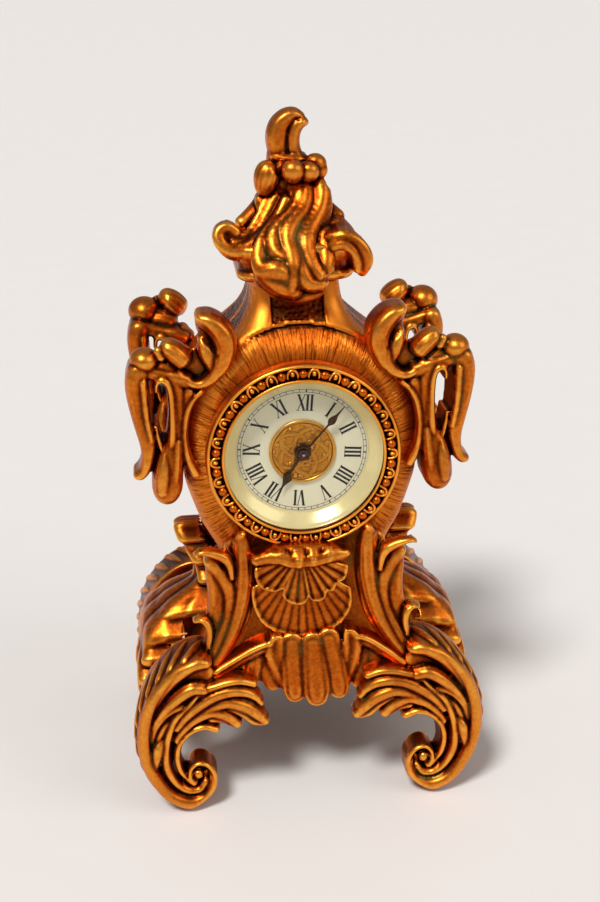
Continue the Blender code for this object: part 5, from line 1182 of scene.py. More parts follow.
# Height of the outer skin's relief along a row, and its shares of hatched and pebbled ground.
def caseRelief(ring, z, d, facing):
    field = caseFields
    across = np.abs(ring[:, 0])
    facingFront = stepUp(ring[:, 3], *field["frontTurn"])
    radius = np.hypot(ring[:, 0], z - body["dialHeight"])
    limit = np.interp(z, *np.transpose(stripEdge))
    plain = stepUp(limit - across, *field["stripFade"])
    plain = plain * stepUp(radius, body["bandLow"], body["bandLow"] + field["bandFade"])
    panel = stepUp(body["stripInner"] - across, *field["panelFade"])
    panel = panel * stepUp(radius, body["bandHigh"] - field["panelStart"], body["bandHigh"])
    plain = plain * (1 - panel) * facingFront * stepUp(z, *field["stripHeights"])
    groove = np.exp(-((radius - body["bandLow"] + field["grooveIn"]) / field["grooveWidth"]) ** 2)
    groove = groove * stepUp(z, *field["grooveHeights"]) * facingFront
    high = stepUp(z, *field["neckHeights"]) * (1 - plain)
    side = (1 - facingFront) * stepUp(z, *field["sideHeights"])
    side = side * stepUp(field["sideTop"] - z, 0, field["sideTopFade"])
    side = side * stepUp(d - ring[:, 1] - field["sideEdge"], 0, 1.0)
    out = body["bandRaise"] * plain - body["grooveDepth"] * groove
    out -= field["sideDrop"] * side
    pebble = np.clip(high * stepUp(radius, *field["pebbleRadii"]) + side, 0, 1)
    if facing < 0:
        return out, stepUp(body["bandLow"] - radius, 0, 1.0) * facingFront, pebble
    return out * field["backShare"], np.zeros(len(ring)), pebble * stepUp(z, *field["backPebbles"])


def halfCase(name, facing):
    shares = np.linspace(0, 1, body["rows"])
    outer, inner, hatch, pebble = [], [], [], []
    for share, (wide, deep, rounding) in zip(shares, easedBody(shares)):
        z = body["base"] + (body["top"] - body["base"]) * share
        lower = 1 - stepUp(z, body["base"], body["base"] + caseFields["footRise"])
        for skin, loss in ((outer, 0.0), (inner, body["wall"])):
            w, d = body["halfWidth"] * wide - loss, body["halfDepth"] * deep - loss
            ring = caseRing(w, d, rounding * min(w, d))
            out, lift = np.zeros(len(ring)), np.zeros(len(ring))
            if skin is outer:
                out, hatched, pebbled = caseRelief(ring, z, d, facing)
                hatch.append(hatched)
                pebble.append(pebbled)
            if facing < 0:
                arch = np.clip(1 - (np.abs(ring[:, 0]) / caseFields["archHalf"]) ** 2, 0, 1)
                flat = stepUp(np.abs(ring[:, 3]), *caseFields["archTurn"])
                lift = body["archRise"] * arch * lower * flat
            x, y, nx, ny = ring.T
            skin.append(np.column_stack([x + nx * out, facing * (y + ny * out), z + lift]))
    made = newPiece(name, [slab(outer, inner)])
    reach = body["boreReach"]
    bore = roundBar((0, 0, body["dialHeight"]), body["bore"], -reach, reach, body["boreSteps"])
    cutter = newPiece(name + "Bore", [bore])
    opening = made.modifiers.new("bore", "BOOLEAN")
    opening.operation, opening.object, opening.solver = "DIFFERENCE", cutter, "EXACT"
    baked(made)
    bpy.data.objects.remove(cutter, do_unlink=True)
    # The fields are carried over from the outer skin to the points that the bore left.
    placed = np.array(outer).reshape(-1, 3) * mm
    tree = kdtree.KDTree(len(placed))
    for place, spot in enumerate(placed):
        tree.insert(spot, place)
    tree.balance()
    for field, values in (("hatch", np.ravel(hatch)), ("pebble", np.ravel(pebble))):
        layer = made.data.attributes.new(field, "FLOAT", "POINT")
        for vertex in made.data.vertices:
            _, place, distance = tree.find(vertex.co)
            near = distance < body["fieldReach"] * mm
            layer.data[vertex.index].value = float(values[place]) if near else 0.0
    return made


caseFront = halfCase("caseFrontCast", -1)
caseBack = halfCase("caseBackCast", 1)
print("case", len(caseFront.data.polygons), len(caseBack.data.polygons))

# Plinth ledge under the finial. Rows: share of the height, and of the widths.
plinth = {
    "base": 176.8, "top": 189.5, "halfWidth": 20.8, "halfDepth": 20.0, "rounding": 0.40,
    "cornerSteps": 6, "skin": 0.4,
    "rows": [
        (0.0, 0.80), (0.03, 0.85), (0.08, 0.885), (0.16, 0.90), (0.24, 0.885), (0.30, 0.86), (0.36, 0.865),
        (0.46, 0.895), (0.56, 0.935), (0.68, 0.965), (0.80, 0.98), (0.90, 0.965), (0.96, 0.92), (1.0, 0.84)],
}


def plinthPart():
    rings = []
    for share, size in plinth["rows"]:
        z = plinth["base"] + (plinth["top"] - plinth["base"]) * share
        w, d = plinth["halfWidth"] * size, plinth["halfDepth"] * size
        r = plinth["rounding"] * min(w, d)
        for sx, sy, start in ((1, 1, 0), (-1, 1, 90), (-1, -1, 180), (1, -1, 270)):
            for k in range(plinth["cornerSteps"] + 1):
                a = math.radians(start + 90 * k / plinth["cornerSteps"])
                rings.append((sx * (w - r) + r * math.cos(a), sy * (d - r) + r * math.sin(a), z))
    count = len(plinth["rows"])
    around = len(rings) // count
    caps = [tuple(reversed(range(around))), tuple((count - 1) * around + k for k in range(around))]
    return np.array(rings), caps + ringFaces(count, around)


plinthCast = cast("plinthCast", [plinthPart()], plinth["skin"])
markRelief(plinthCast)


# A turned ring about the dial's axis. Rows hold radius and y in mm; a closed section.
def turned(section, steps=160):
    rows = len(section)
    verts, faces = [], []
    for k in range(steps):
        a = math.tau * k / steps
        for radius, y in section:
            verts.append((radius * math.sin(a), y, body["dialHeight"] + radius * math.cos(a)))
        n = (k + 1) % steps
        for i in range(rows):
            j = (i + 1) % rows
            faces.append((k * rows + i, k * rows + j, n * rows + j, n * rows + i))
    return np.array(verts), faces


# Bezel: moulded rim and channel. Beads and tongues stand in the channel.
bezel = {
    "pairs": 26, "beadCircle": 28.2, "channelY": -30.7, "beadRadii": (1.5, 1.7, 1.5),
    "beadForward": 0.35, "tongueForward": 0.45, "tongueOut": 0.05, "beadUneven": 0.06, "tongueUneven": 0.05,
    "tongueMiddle": (0, 0.1, 0.1), "tongueRadii": (0.8, 1.3, 1.05),
    "tongueRows": [
        (-1.5, 0, 1.75, 0.34), (-1.62, 0, 0.8, 0.42), (-1.45, 0, -0.35, 0.5), (-0.85, 0, -1.25, 0.52),
        (0.0, 0, -1.52, 0.52), (0.85, 0, -1.25, 0.52), (1.45, 0, -0.35, 0.5), (1.62, 0, 0.8, 0.42),
        (1.5, 0, 1.75, 0.34)],
}
bezelSection = [
    (31.5, -27.3), (31.5, -28.8), (31.45, -29.8), (31.35, -30.7), (31.1, -31.5), (30.8, -31.95),
    (30.45, -32.05), (30.15, -31.8), (30.0, -31.3), (29.95, -30.8), (29.8, -30.55), (29.0, -30.5),
    (27.4, -30.5), (26.6, -30.6), (26.45, -31.0), (26.4, -31.9), (26.2, -32.3), (25.9, -32.4), (25.6, -32.3),
    (25.42, -32.1), (25.8, -32.02), (26.2, -31.9), (26.2, -30.0), (26.2, -27.3)]
# Conical ring between the glass and the dial.
sightSection = [
    (21.42, -25.3), (21.5, -25.62), (22.2, -26.2), (23.4, -27.3), (24.6, -28.45), (24.85, -28.75),
    (25.05, -29.25), (25.3, -29.65), (25.6, -29.88), (25.72, -29.8), (25.72, -25.3)]


def addNode(tree, kind, settings=None, **values):
    node = tree.nodes.new(kind)
    for key, value in (settings or {}).items():
        setattr(node, key, value)
    for key, value in values.items():
        node.inputs[key].default_value = value
    return node


# A maths node: each input is a number or a socket. Returns its result.
def maths(tree, operation, *inputs):
    node = addNode(tree, "ShaderNodeMath", {"operation": operation})
    for place, value in enumerate(inputs):
        if hasattr(value, "is_linked"):
            tree.links.new(value, node.inputs[place])
        else:
            node.inputs[place].default_value = value
    return node.outputs[0]


def inputOf(tree, name):
    sockets = tree.interface.items_tree
    return next(item.identifier for item in sockets if item.name == name and item.in_out == "INPUT")


# Repeats one small object round the dial: named inputs give the circle, count and turn.
def ringTree(name):
    tree = bpy.data.node_groups.new(name, "GeometryNodeTree")
    face = tree.interface
    face.new_socket("Geometry", in_out="INPUT", socket_type="NodeSocketGeometry")
    sockets = {
        "Count": "Int", "Radius": "Float", "First Turn": "Float", "Piece": "Object", "Centre": "Vector",
        "Finish": "Material", "Uneven": "Float", "Seed": "Int",
    }
    for label, kind in sockets.items():
        face.new_socket(label, in_out="INPUT", socket_type="NodeSocket" + kind)
    face.new_socket("Geometry", in_out="OUTPUT", socket_type="NodeSocketGeometry")
    link = tree.links.new
    start, end = tree.nodes.new("NodeGroupInput").outputs, tree.nodes.new("NodeGroupOutput")
    line = addNode(tree, "GeometryNodeMeshLine", {"mode": "OFFSET"}, Offset=(0, 0, 0))
    link(start["Count"], line.inputs["Count"])
    index = addNode(tree, "GeometryNodeInputIndex")
    step = maths(tree, "DIVIDE", math.tau, start["Count"])
    turn = maths(tree, "MULTIPLY_ADD", index.outputs[0], step, start["First Turn"])
    place = addNode(tree, "ShaderNodeCombineXYZ")
    link(maths(tree, "MULTIPLY", maths(tree, "SINE", turn), start["Radius"]), place.inputs[0])
    link(maths(tree, "MULTIPLY", maths(tree, "COSINE", turn), start["Radius"]), place.inputs[2])
    shift = addNode(tree, "ShaderNodeVectorMath", {"operation": "ADD"})
    link(place.outputs[0], shift.inputs[0])
    link(start["Centre"], shift.inputs[1])
    setPlace = addNode(tree, "GeometryNodeSetPosition")
    link(line.outputs[0], setPlace.inputs["Geometry"])
    link(shift.outputs[0], setPlace.inputs["Position"])
    info = addNode(tree, "GeometryNodeObjectInfo")
    link(start["Piece"], info.inputs["Object"])
    rotate = addNode(tree, "ShaderNodeCombineXYZ")
    link(turn, rotate.inputs[1])
    size = addNode(tree, "FunctionNodeRandomValue", {"data_type": "FLOAT_VECTOR"})
    link(maths(tree, "SUBTRACT", 1.0, start["Uneven"]), size.inputs[0])
    link(maths(tree, "ADD", 1.0, start["Uneven"]), size.inputs[1])
    link(start["Seed"], size.inputs["Seed"])
    copies = addNode(tree, "GeometryNodeInstanceOnPoints")
    link(setPlace.outputs[0], copies.inputs["Points"])
    link(info.outputs["Geometry"], copies.inputs["Instance"])
    link(rotate.outputs[0], copies.inputs["Rotation"])
    link(size.outputs[0], copies.inputs["Scale"])
    real = addNode(tree, "GeometryNodeRealizeInstances")
    finish = addNode(tree, "GeometryNodeSetMaterial")
    link(copies.outputs[0], real.inputs[0])
    link(real.outputs[0], finish.inputs["Geometry"])
    link(start["Finish"], finish.inputs["Material"])
    link(finish.outputs[0], end.inputs[0])
    return tree


roundTheDial = ringTree("roundTheDial")


def ringOf(name, piece, count, radius, firstTurn, y, finish, uneven=0.0, seed=3):
    made = newObject(name, bpy.data.meshes.new(name))
    modifier = made.modifiers.new("repeat", "NODES")
    modifier.node_group = roundTheDial
    values = {
        "Count": count, "Radius": radius * mm, "First Turn": firstTurn, "Piece": piece,
        "Centre": (0.0, y * mm, body["dialHeight"] * mm), "Finish": finish, "Uneven": uneven, "Seed": seed,
    }
    for label, value in values.items():
        modifier[inputOf(roundTheDial, label)] = value
    bpy.context.view_layer.update()
    return baked(made)


tongueStrand = [(x, y, -z, half) for x, y, z, half in bezel["tongueRows"]]
tongueHeart = ball(bezel["tongueMiddle"], bezel["tongueRadii"], 12)
beadBlank = newPiece("beadBlank", [ball((0, 0, 0), bezel["beadRadii"])])
tongueBlank = newPiece("tongueBlank", [strand(tongueStrand, 1.5, 0.2, 8), tongueHeart])

# Dial print: Roman figures with their feet to the centre, a minute track and its ticks, all raised enamel.
dialPrint = {
    "turn": 4.4, "figureCircle": 16.5, "figureHalf": 2.65, "thick": 0.72, "thin": 0.22, "serif": 0.18,
    "face": -25.0, "raised": 0.06, "clear": 0.004, "trackInner": 20.0, "trackOuter": 20.95, "trackLine": 0.12,
    "minuteTick": (0.16, 0.46), "hourTick": (0.42, 0.5),
}
# Letters: width, then strokes as start, end (across and up, in half heights) and weight.
letterStrokes = {
    "I": (
        1.35,
        [((0, 1), (0, -1), "thick"), ((-0.24, 1), (0.24, 1), "serif"), ((-0.24, -1), (0.24, -1), "serif")],
    ),
    "V": (
        2.55,
        [
            ((-0.36, 1), (0.0, -1), "thick"), ((0.38, 1), (0.03, -1), "thin"),
            ((-0.56, 1), (-0.14, 1), "serif"), ((0.22, 1), (0.54, 1), "serif")],
    ),
    "X": (
        2.65,
        [
            ((-0.38, 1), (0.38, -1), "thick"), ((0.38, 1), (-0.38, -1), "thin"),
            ((-0.58, 1), (-0.16, 1), "serif"), ((0.22, 1), (0.54, 1), "serif"),
            ((0.16, -1), (0.58, -1), "serif"), ((-0.54, -1), (-0.22, -1), "serif")],
    ),
}
figures = ("XII", "I", "II", "III", "IIII", "V", "VI", "VII", "VIII", "IX", "X", "XI")
printFront, printBack = dialPrint["face"] - dialPrint["raised"], dialPrint["face"] - dialPrint["clear"]


# Directions outwards and across at a turn on the dial, as x and z.
def dialAxes(degrees):
    turn = math.radians(degrees)
    return np.array([math.sin(turn), math.cos(turn)]), np.array([math.cos(turn), -math.sin(turn)])


def figureParts():
    made = []
    half = dialPrint["figureHalf"]
    for hour, letters in enumerate(figures):
        outward, across = dialAxes(hour * 30 + dialPrint["turn"])
        centre = outward * dialPrint["figureCircle"] + [0, body["dialHeight"]]
        place = -sum(letterStrokes[letter][0] for letter in letters) / 2
        for letter in letters:
            width, rows = letterStrokes[letter]
            middle = place + width / 2
            place += width
            for (u0, v0), (u1, v1), weight in rows:
                start = centre + across * (middle + u0 * half) + outward * v0 * half
                end = centre + across * (middle + u1 * half) + outward * v1 * half
                run = (end - start) / np.linalg.norm(end - start)
                side = np.array([-run[1], run[0]]) * dialPrint[weight] / 2
                grid = ((start - side, start + side), (end - side, end + side))
                front = [[(x, printFront, z) for x, z in row] for row in grid]
                back = [[(x, printBack, z) for x, z in row] for row in grid]
                made.append(slab(front, back))
    return made


def trackParts():
    made = []
    for radius in (dialPrint["trackInner"], dialPrint["trackOuter"]):
        low, high = radius - dialPrint["trackLine"] / 2, radius + dialPrint["trackLine"] / 2
        section = [(low, printBack), (high, printBack), (high, printFront), (low, printFront)]
        made.append(turned(section, 180))
    return made


# Embossed centre of the dial: a smooth rim round a chased ground of scrolls and buds.
dialCentre = {
    "radius": 10.9, "rim": 10.35, "rimHalf": 0.52, "rimHeight": 0.42, "ground": -25.5, "back": -25.35,
    "hole": 0.35, "firstRing": 0.6, "rings": 84, "around": 300, "seed": 11, "rough": 0.02,
    "arms": 5, "twists": (1.25, 1.05), "apart": 0.8, "curlFrom": 0.35, "curlHeight": 0.30, "curlPower": 0.7,
    "buds": 46, "budPlaces": (1.8, 8.0), "budSizes": (0.45, 0.55), "budHeights": (0.24, 0.18),
    "fieldOuter": (9.7, 0.3), "fieldInner": (1.2, 0.4),
}


def centreParts():
    rng = np.random.default_rng(dialCentre["seed"])
    radii = np.linspace(dialCentre["firstRing"], dialCentre["radius"], dialCentre["rings"])
    radii = np.concatenate([[dialCentre["hole"]], radii])
    turns = np.arange(dialCentre["around"]) / dialCentre["around"] * math.tau
    r, a = np.meshgrid(radii, turns, indexing="ij")
    u, v = r * np.sin(a), r * np.cos(a)
    (firstTwist, lastTwist), arms = dialCentre["twists"], dialCentre["arms"]
    curls = np.cos(arms * a + firstTwist * r)
    curls = np.maximum(curls, np.cos(arms * a - lastTwist * r + dialCentre["apart"]))
    curls = np.clip((curls - dialCentre["curlFrom"]) / (1 - dialCentre["curlFrom"]), 0, 1)
    height = dialCentre["curlHeight"] * curls ** dialCentre["curlPower"]
    places, sizes, heights = dialCentre["budPlaces"], dialCentre["budSizes"], dialCentre["budHeights"]
    for _ in range(dialCentre["buds"]):
        far, where = places[0] + places[1] * math.sqrt(rng.random()), rng.random() * math.tau
        size = sizes[0] + sizes[1] * rng.random()
        gap = np.hypot(u - far * math.sin(where), v - far * math.cos(where)) / size
        crown = heights[0] + heights[1] * rng.random()
        height = np.maximum(height, crown * np.sqrt(np.clip(1 - gap**2, 0, 1)))
    height += dialCentre["rough"] * rng.standard_normal(height.shape)
    (outer, outerFade), (inner, innerFade) = dialCentre["fieldOuter"], dialCentre["fieldInner"]
    field = np.clip((outer - r) / outerFade, 0, 1) * np.clip((r - inner) / innerFade, 0, 1)
    fromRim = (r - dialCentre["rim"]) / dialCentre["rimHalf"]
    rim = dialCentre["rimHeight"] * np.sqrt(np.clip(1 - fromRim ** 2, 0, 1))
    y = dialCentre["ground"] - height * field - rim
    z = v + body["dialHeight"]
    front, rear = np.stack([u, y, z], -1), np.stack([u, np.full_like(u, dialCentre["back"]), z], -1)
    rows, columns = front.shape[:2]
    shift, outermost = rows * columns, (rows - 1) * columns
    faces = []
    for cell in ringFaces(rows, columns):
        faces += [cell, tuple(shift + i for i in reversed(cell))]
    for k in range(columns):
        n = (k + 1) % columns
        faces.append((k, shift + k, shift + n, n))
        faces.append((outermost + k, outermost + n, shift + outermost + n, shift + outermost + k))
    return [(np.vstack([front.reshape(-1, 3), rear.reshape(-1, 3)]), faces)]


def tickPiece(name, width, half):
    w, h = width / 2, dialPrint["raised"] / 2
    front = [[(-w, -h, half), (w, -h, half)], [(-w, -h, -half), (w, -h, -half)]]
    back = [[(x, h, z) for x, y, z in row] for row in front]
    return newPiece(name, [slab(front, back)])


dialFigures = newPiece("dialFigures", figureParts())
dialTrack = newPiece("dialTrack", trackParts())
dialBoss = shaded(newPiece("dialBoss", centreParts()))
minuteTick = tickPiece("minuteTick", *dialPrint["minuteTick"])
hourTick = tickPiece("hourTick", *dialPrint["hourTick"])
print("dial", len(dialBoss.data.polygons))

# Hands: slender stems with a small pointed leaf. Rows are distance from the arbor and half width.
hands = {
    "minute": {
        "turn": 41.4, "front": -27.72, "back": -27.42, "hub": 2.35,
        "rows": [
            (-0.4, 0.5), (2.6, 0.42), (6.0, 0.36), (10.5, 0.30), (12.3, 0.34), (13.0, 0.75), (13.6, 1.15),
            (14.2, 1.28), (15.0, 1.12), (16.0, 0.68), (17.0, 0.36), (18.6, 0.24), (20.4, 0.12)],
    },
    "hour": {
        "turn": 210.4, "front": -26.62, "back": -26.3, "hub": 2.75,
        "rows": [
            (-0.4, 0.6), (2.8, 0.52), (5.0, 0.44), (7.6, 0.40), (8.6, 0.62), (9.2, 1.25), (9.8, 1.55),
            (10.6, 1.42), (11.6, 0.95), (12.6, 0.52), (13.8, 0.26), (14.9, 0.12)],
    },
}
# Across the hand: place as a share of the half width, and drop behind its front.
handSection = ((-1, 0.14), (-0.55, 0.04), (0, 0.0), (0.55, 0.04), (1, 0.14))
# Rim of the hub: distance in from its edge, and behind the hand's front.
hubBore = 0.62
hubRows = ((0.0, 0.1), (0.18, 0.0), (0.62, 0.0), (0.74, 0.09), (0.95, 0.09), (1.08, 0.0))


def handParts(label):
    made = hands[label]
    outward, across = dialAxes(made["turn"])
    front, back = [], []
    for r, half in smoothRows([(r, 0, 0, w) for r, w in made["rows"]], 0.3)[:, [0, 3]]:
        ring = [outward * r + across * half * share + [0, body["dialHeight"]] for share, _ in handSection]
        front.append([(x, made["front"] + drop, z) for (x, z), (_, drop) in zip(ring, handSection)])
        back.append([(x, made["back"], z) for x, z in ring])
    hub = [(hubBore, made["back"]), (made["hub"], made["back"])]
    hub += [(made["hub"] - inwards, made["front"] + behind) for inwards, behind in hubRows]
    hub.append((hubBore, made["front"]))
    return [slab(front, back), turned(hub, 72)]


minuteHand = newPiece("minuteHandPlate", handParts("minute"))
hourHand = newPiece("hourHandPlate", handParts("hour"))
sightRing = shaded(newPiece("sightRingTurned", [turned(sightSection, 200)]))
bezelCast = shaded(newPiece("bezelCast", [turned(bezelSection, 192)]))


# Finishes. Each is a small node tree on Object coordinates; castings also read their relief.
def newFinish(name):
    made = bpy.data.materials.new(name)
    made.use_nodes = True
    tree = made.node_tree
    return made, tree, tree.nodes["Principled BSDF"]


def ramp(tree, source, stops):
    node = tree.nodes.new("ShaderNodeValToRGB")
    elements = node.color_ramp.elements
    while len(elements) > len(stops):
        elements.remove(elements[-1])
    while len(elements) < len(stops):
        elements.new(1)
    for element, (place, colour) in zip(elements, stops):
        element.position = place
        element.color = (*colour, 1)
    tree.links.new(source, node.inputs["Fac"])
    return node.outputs["Color"]


def mixed(tree, factor, first, second, mode="MIX"):
    node = addNode(tree, "ShaderNodeMix", {"data_type": "RGBA", "blend_type": mode})
    for key, value in ((0, factor), (6, first), (7, second)):
        if hasattr(value, "is_linked"):
            tree.links.new(value, node.inputs[key])
        elif key == 0:
            node.inputs[0].default_value = value
        else:
            node.inputs[key].default_value = (*value, 1)
    return node.outputs[2]


def noise(tree, spots, scale, detail, roughness):
    node = addNode(tree, "ShaderNodeTexNoise", None, Scale=scale, Detail=detail, Roughness=roughness)
    tree.links.new(spots, node.inputs["Vector"])
    return node.outputs["Fac"]


def spread(tree, source, low, high):
    node = addNode(tree, "ShaderNodeMapRange", None, **{"To Min": low, "To Max": high})
    tree.links.new(source, node.inputs["Value"])
    return node.outputs["Result"]


# Tones of the cast bronze and their places on the relief, from low to high: painted shade in deep recesses,
# painted shade in shallow ones, the metal's own colour, and a painted highlight on ridges. The patina is the
# metal's own. Depths in metres.
bronze = {
    "paintedRecessShade": (0.012, 0.003, 0.0012), "shade": (0.15, 0.024, 0.003), "body": (0.56, 0.120, 0.009),
    "ridge": (0.96, 0.42, 0.055), "patina": (0.13, 0.105, 0.022), "roughness": (0.24, 0.42),
    "toneStops": (0.18, 0.42, 0.57, 0.80), "stir": 0.22, "plainRelief": (0.45, 0.6),
    "grainScale": 900.0, "cloudScale": 55.0, "driftScale": 34.0, "bump": 0.25, "bumpDepth": 0.0002,
}
# Gilt tones: again painted shade in recesses and a painted highlight on ridges.
gilding = {
    **bronze, "paintedRecessShade": (0.30, 0.085, 0.008), "shade": (0.55, 0.21, 0.022), "body": (0.80, 0.40, 0.060),
    "ridge": (0.98, 0.72, 0.22), "patina": (0.60, 0.28, 0.03), "roughness": (0.26, 0.40),
}
# On the case the painted highlight on ridges is duller.
caseTones = {**bronze, "ridge": (0.78, 0.24, 0.024), "roughness": (0.36, 0.50)}
none, full = (0, 0, 0), (1, 1, 1)
patinaClouds = [(0.52, none), (0.66, full)]
patinaGround = [(0.16, none), (0.34, (0.75, 0.75, 0.75)), (0.48, (0.55, 0.55, 0.55)), (0.60, none)]
# Broad drifts of redder and yellower metal.
driftTints = [(0.34, (0.80, 0.66, 0.60)), (0.52, (1.0, 0.94, 0.86)), (0.68, (1.0, 1.0, 1.0))]


def bronzeFinish(name, tones, hasRelief=True, extraBump=None):
    made, tree, shader = newFinish(name)
    link = tree.links.new
    spots = addNode(tree, "ShaderNodeTexCoord").outputs["Object"]
    clouds = noise(tree, spots, tones["cloudScale"], 4.0, 0.6)
    grain = noise(tree, spots, tones["grainScale"], 3.0, 0.65)
    if hasRelief:
        relief = addNode(tree, "ShaderNodeAttribute", {"attribute_name": "relief"}).outputs["Fac"]
    else:
        relief = spread(tree, clouds, *tones["plainRelief"])
    level = maths(tree, "SUBTRACT", relief, tones["stir"] / 2)
    stirred = maths(tree, "MULTIPLY_ADD", grain, tones["stir"], level)
    # The relief sets the tone: low places get painted shade, crests a painted highlight. Without relief the
    # tone only varies at random.
    palette = [tones[label] for label in ("paintedRecessShade", "shade", "body", "ridge")]
    base = ramp(tree, stirred, list(zip(tones["toneStops"], palette)))
    where = mixed(tree, 1.0, ramp(tree, clouds, patinaClouds), ramp(tree, relief, patinaGround), "MULTIPLY")
    colour = mixed(tree, where, base, tones["patina"])
    tint = ramp(tree, noise(tree, spots, tones["driftScale"], 2.0, 0.5), driftTints)
    link(mixed(tree, 1.0, colour, tint, "MULTIPLY"), shader.inputs["Base Color"])
    link(spread(tree, clouds, *tones["roughness"]), shader.inputs["Roughness"])
    shader.inputs["Metallic"].default_value = 1.0
    bump = addNode(tree, "ShaderNodeBump", None, Strength=tones["bump"], Distance=tones["bumpDepth"])
    link(grain, bump.inputs["Height"])
    if extraBump:
        bump = extraBump(tree, spots, bump)
    link(bump.outputs["Normal"], shader.inputs["Normal"])
    return made


def plainFinish(name, colour, roughness, metallic=1.0, grainScale=700.0, contrast=0.12):
    made, tree, shader = newFinish(name)
    link = tree.links.new
    spots = addNode(tree, "ShaderNodeTexCoord").outputs["Object"]
    grain = noise(tree, spots, grainScale, 4.0, 0.6)
    darker = tuple(c * (1 - contrast * 1.6) for c in colour)
    lighter = tuple(min(1, c * (1 + contrast)) for c in colour)
    link(ramp(tree, grain, [(0.3, darker), (0.7, lighter)]), shader.inputs["Base Color"])
    link(spread(tree, grain, roughness * 0.8, roughness * 1.25), shader.inputs["Roughness"])
    shader.inputs["Metallic"].default_value = metallic
    bump = addNode(tree, "ShaderNodeBump", None, Strength=0.08, Distance=0.0001)
    link(grain, bump.inputs["Height"])
    link(bump.outputs["Normal"], shader.inputs["Normal"])
    return made


# Tooling marks on the case: fine lines that run out from the dial, and pebbled grounds. Depths in m.
caseMarks = {
    "lineScale": 1500.0, "lineStretch": 0.07, "lineRadius": 0.036, "lineDepth": 0.0005,
    "lineTones": [(0.38, (0.30, 0.20, 0.16)), (0.53, (1.0, 1.0, 1.0))],
    "pebbleScale": 620.0, "pebbleDepth": 0.0008, "pebbleSoft": 0.6,
}


def caseSurface(tree, spots, bump):
    link = tree.links.new
    apart = addNode(tree, "ShaderNodeSeparateXYZ")
    link(spots, apart.inputs[0])
    height = maths(tree, "SUBTRACT", apart.outputs["Z"], body["dialHeight"] * mm)
    turn = maths(tree, "ARCTAN2", apart.outputs["X"], height)
    flat = addNode(tree, "ShaderNodeCombineXYZ")
    link(apart.outputs["X"], flat.inputs[0])
    link(height, flat.inputs[1])
    length = addNode(tree, "ShaderNodeVectorMath", {"operation": "LENGTH"})
    link(flat.outputs[0], length.inputs[0])
    lineSpots = addNode(tree, "ShaderNodeCombineXYZ")
    link(maths(tree, "MULTIPLY", turn, caseMarks["lineRadius"]), lineSpots.inputs[0])
    link(maths(tree, "MULTIPLY", length.outputs["Value"], caseMarks["lineStretch"]), lineSpots.inputs[1])
    lines = noise(tree, lineSpots.outputs[0], caseMarks["lineScale"], 3.0, 0.7)
    field = addNode(tree, "ShaderNodeAttribute", {"attribute_name": "hatch"}).outputs["Fac"]
    lined = addNode(tree, "ShaderNodeBump", None, Distance=caseMarks["lineDepth"])
    link(lines, lined.inputs["Height"])
    link(field, lined.inputs["Strength"])
    link(bump.outputs["Normal"], lined.inputs["Normal"])
    # The same lines darken the metal between them.
    baseColour = tree.nodes["Principled BSDF"].inputs["Base Color"]
    metal = baseColour.links[0].from_socket
    streaked = mixed(tree, 1.0, metal, ramp(tree, lines, caseMarks["lineTones"]), "MULTIPLY")
    link(mixed(tree, field, metal, streaked), baseColour)
    cells = addNode(tree, "ShaderNodeTexVoronoi", {"feature": "SMOOTH_F1"}, Scale=caseMarks["pebbleScale"])
    cells.inputs["Smoothness"].default_value = caseMarks["pebbleSoft"]
    link(spots, cells.inputs["Vector"])
    ground = addNode(tree, "ShaderNodeAttribute", {"attribute_name": "pebble"})
    pebbled = addNode(tree, "ShaderNodeBump", {"invert": True}, Distance=caseMarks["pebbleDepth"])
    link(cells.outputs["Distance"], pebbled.inputs["Height"])
    link(ground.outputs["Fac"], pebbled.inputs["Strength"])
    link(lined.outputs["Normal"], pebbled.inputs["Normal"])
    return pebbled


def glassFinish():
    made, _, shader = newFinish("clearGlass")
    look = {"Roughness": 0.02, "Base Color": (0.02, 0.02, 0.018, 1), "Alpha": 0.07, "IOR": 1.45}
    for key, value in look.items():
        shader.inputs[key].default_value = value
    return made


castFinish = bronzeFinish("castBronze", bronze)
caseFinish = bronzeFinish("caseBronze", caseTones, True, caseSurface)
bossFinish = bronzeFinish("gildedBoss", gilding)
printFinish = plainFinish("dialBlack", (0.020, 0.017, 0.016), 0.45, 0.0, 500.0, 0.2)
sightFinish = plainFinish("polishedBrass", (0.98, 0.84, 0.42), 0.22, 0.28, 260.0, 0.02)
handFinish = plainFinish("brownedSteel", (0.085, 0.040, 0.020), 0.34, 0.85)
bySlot = {
    "gilt_bronze": bronzeFinish("plainBronze", bronze, False),
    "brass": plainFinish("turnedBrass", (0.74, 0.47, 0.16), 0.28),
    "steel": plainFinish("brightSteel", (0.42, 0.43, 0.46), 0.32),
    "blued_steel": plainFinish("bluedSteel", (0.025, 0.022, 0.03), 0.35, 0.6),
    "glass": glassFinish(),
    "dial_enamel": plainFinish("dialWhite", (0.94, 0.89, 0.64), 0.42, 0.0, 300.0, 0.02),
}


def dress(made, finish):
    made.data.materials.clear()
    made.data.materials.append(finish)


# Each piece gets its finish and body, and takes the place of the CAD nodes that it covers.
def settle(made, body, slot, finish, *nodes):
    dress(made, finish)
    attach(made, body)
    if nodes:
        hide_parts(*nodes)


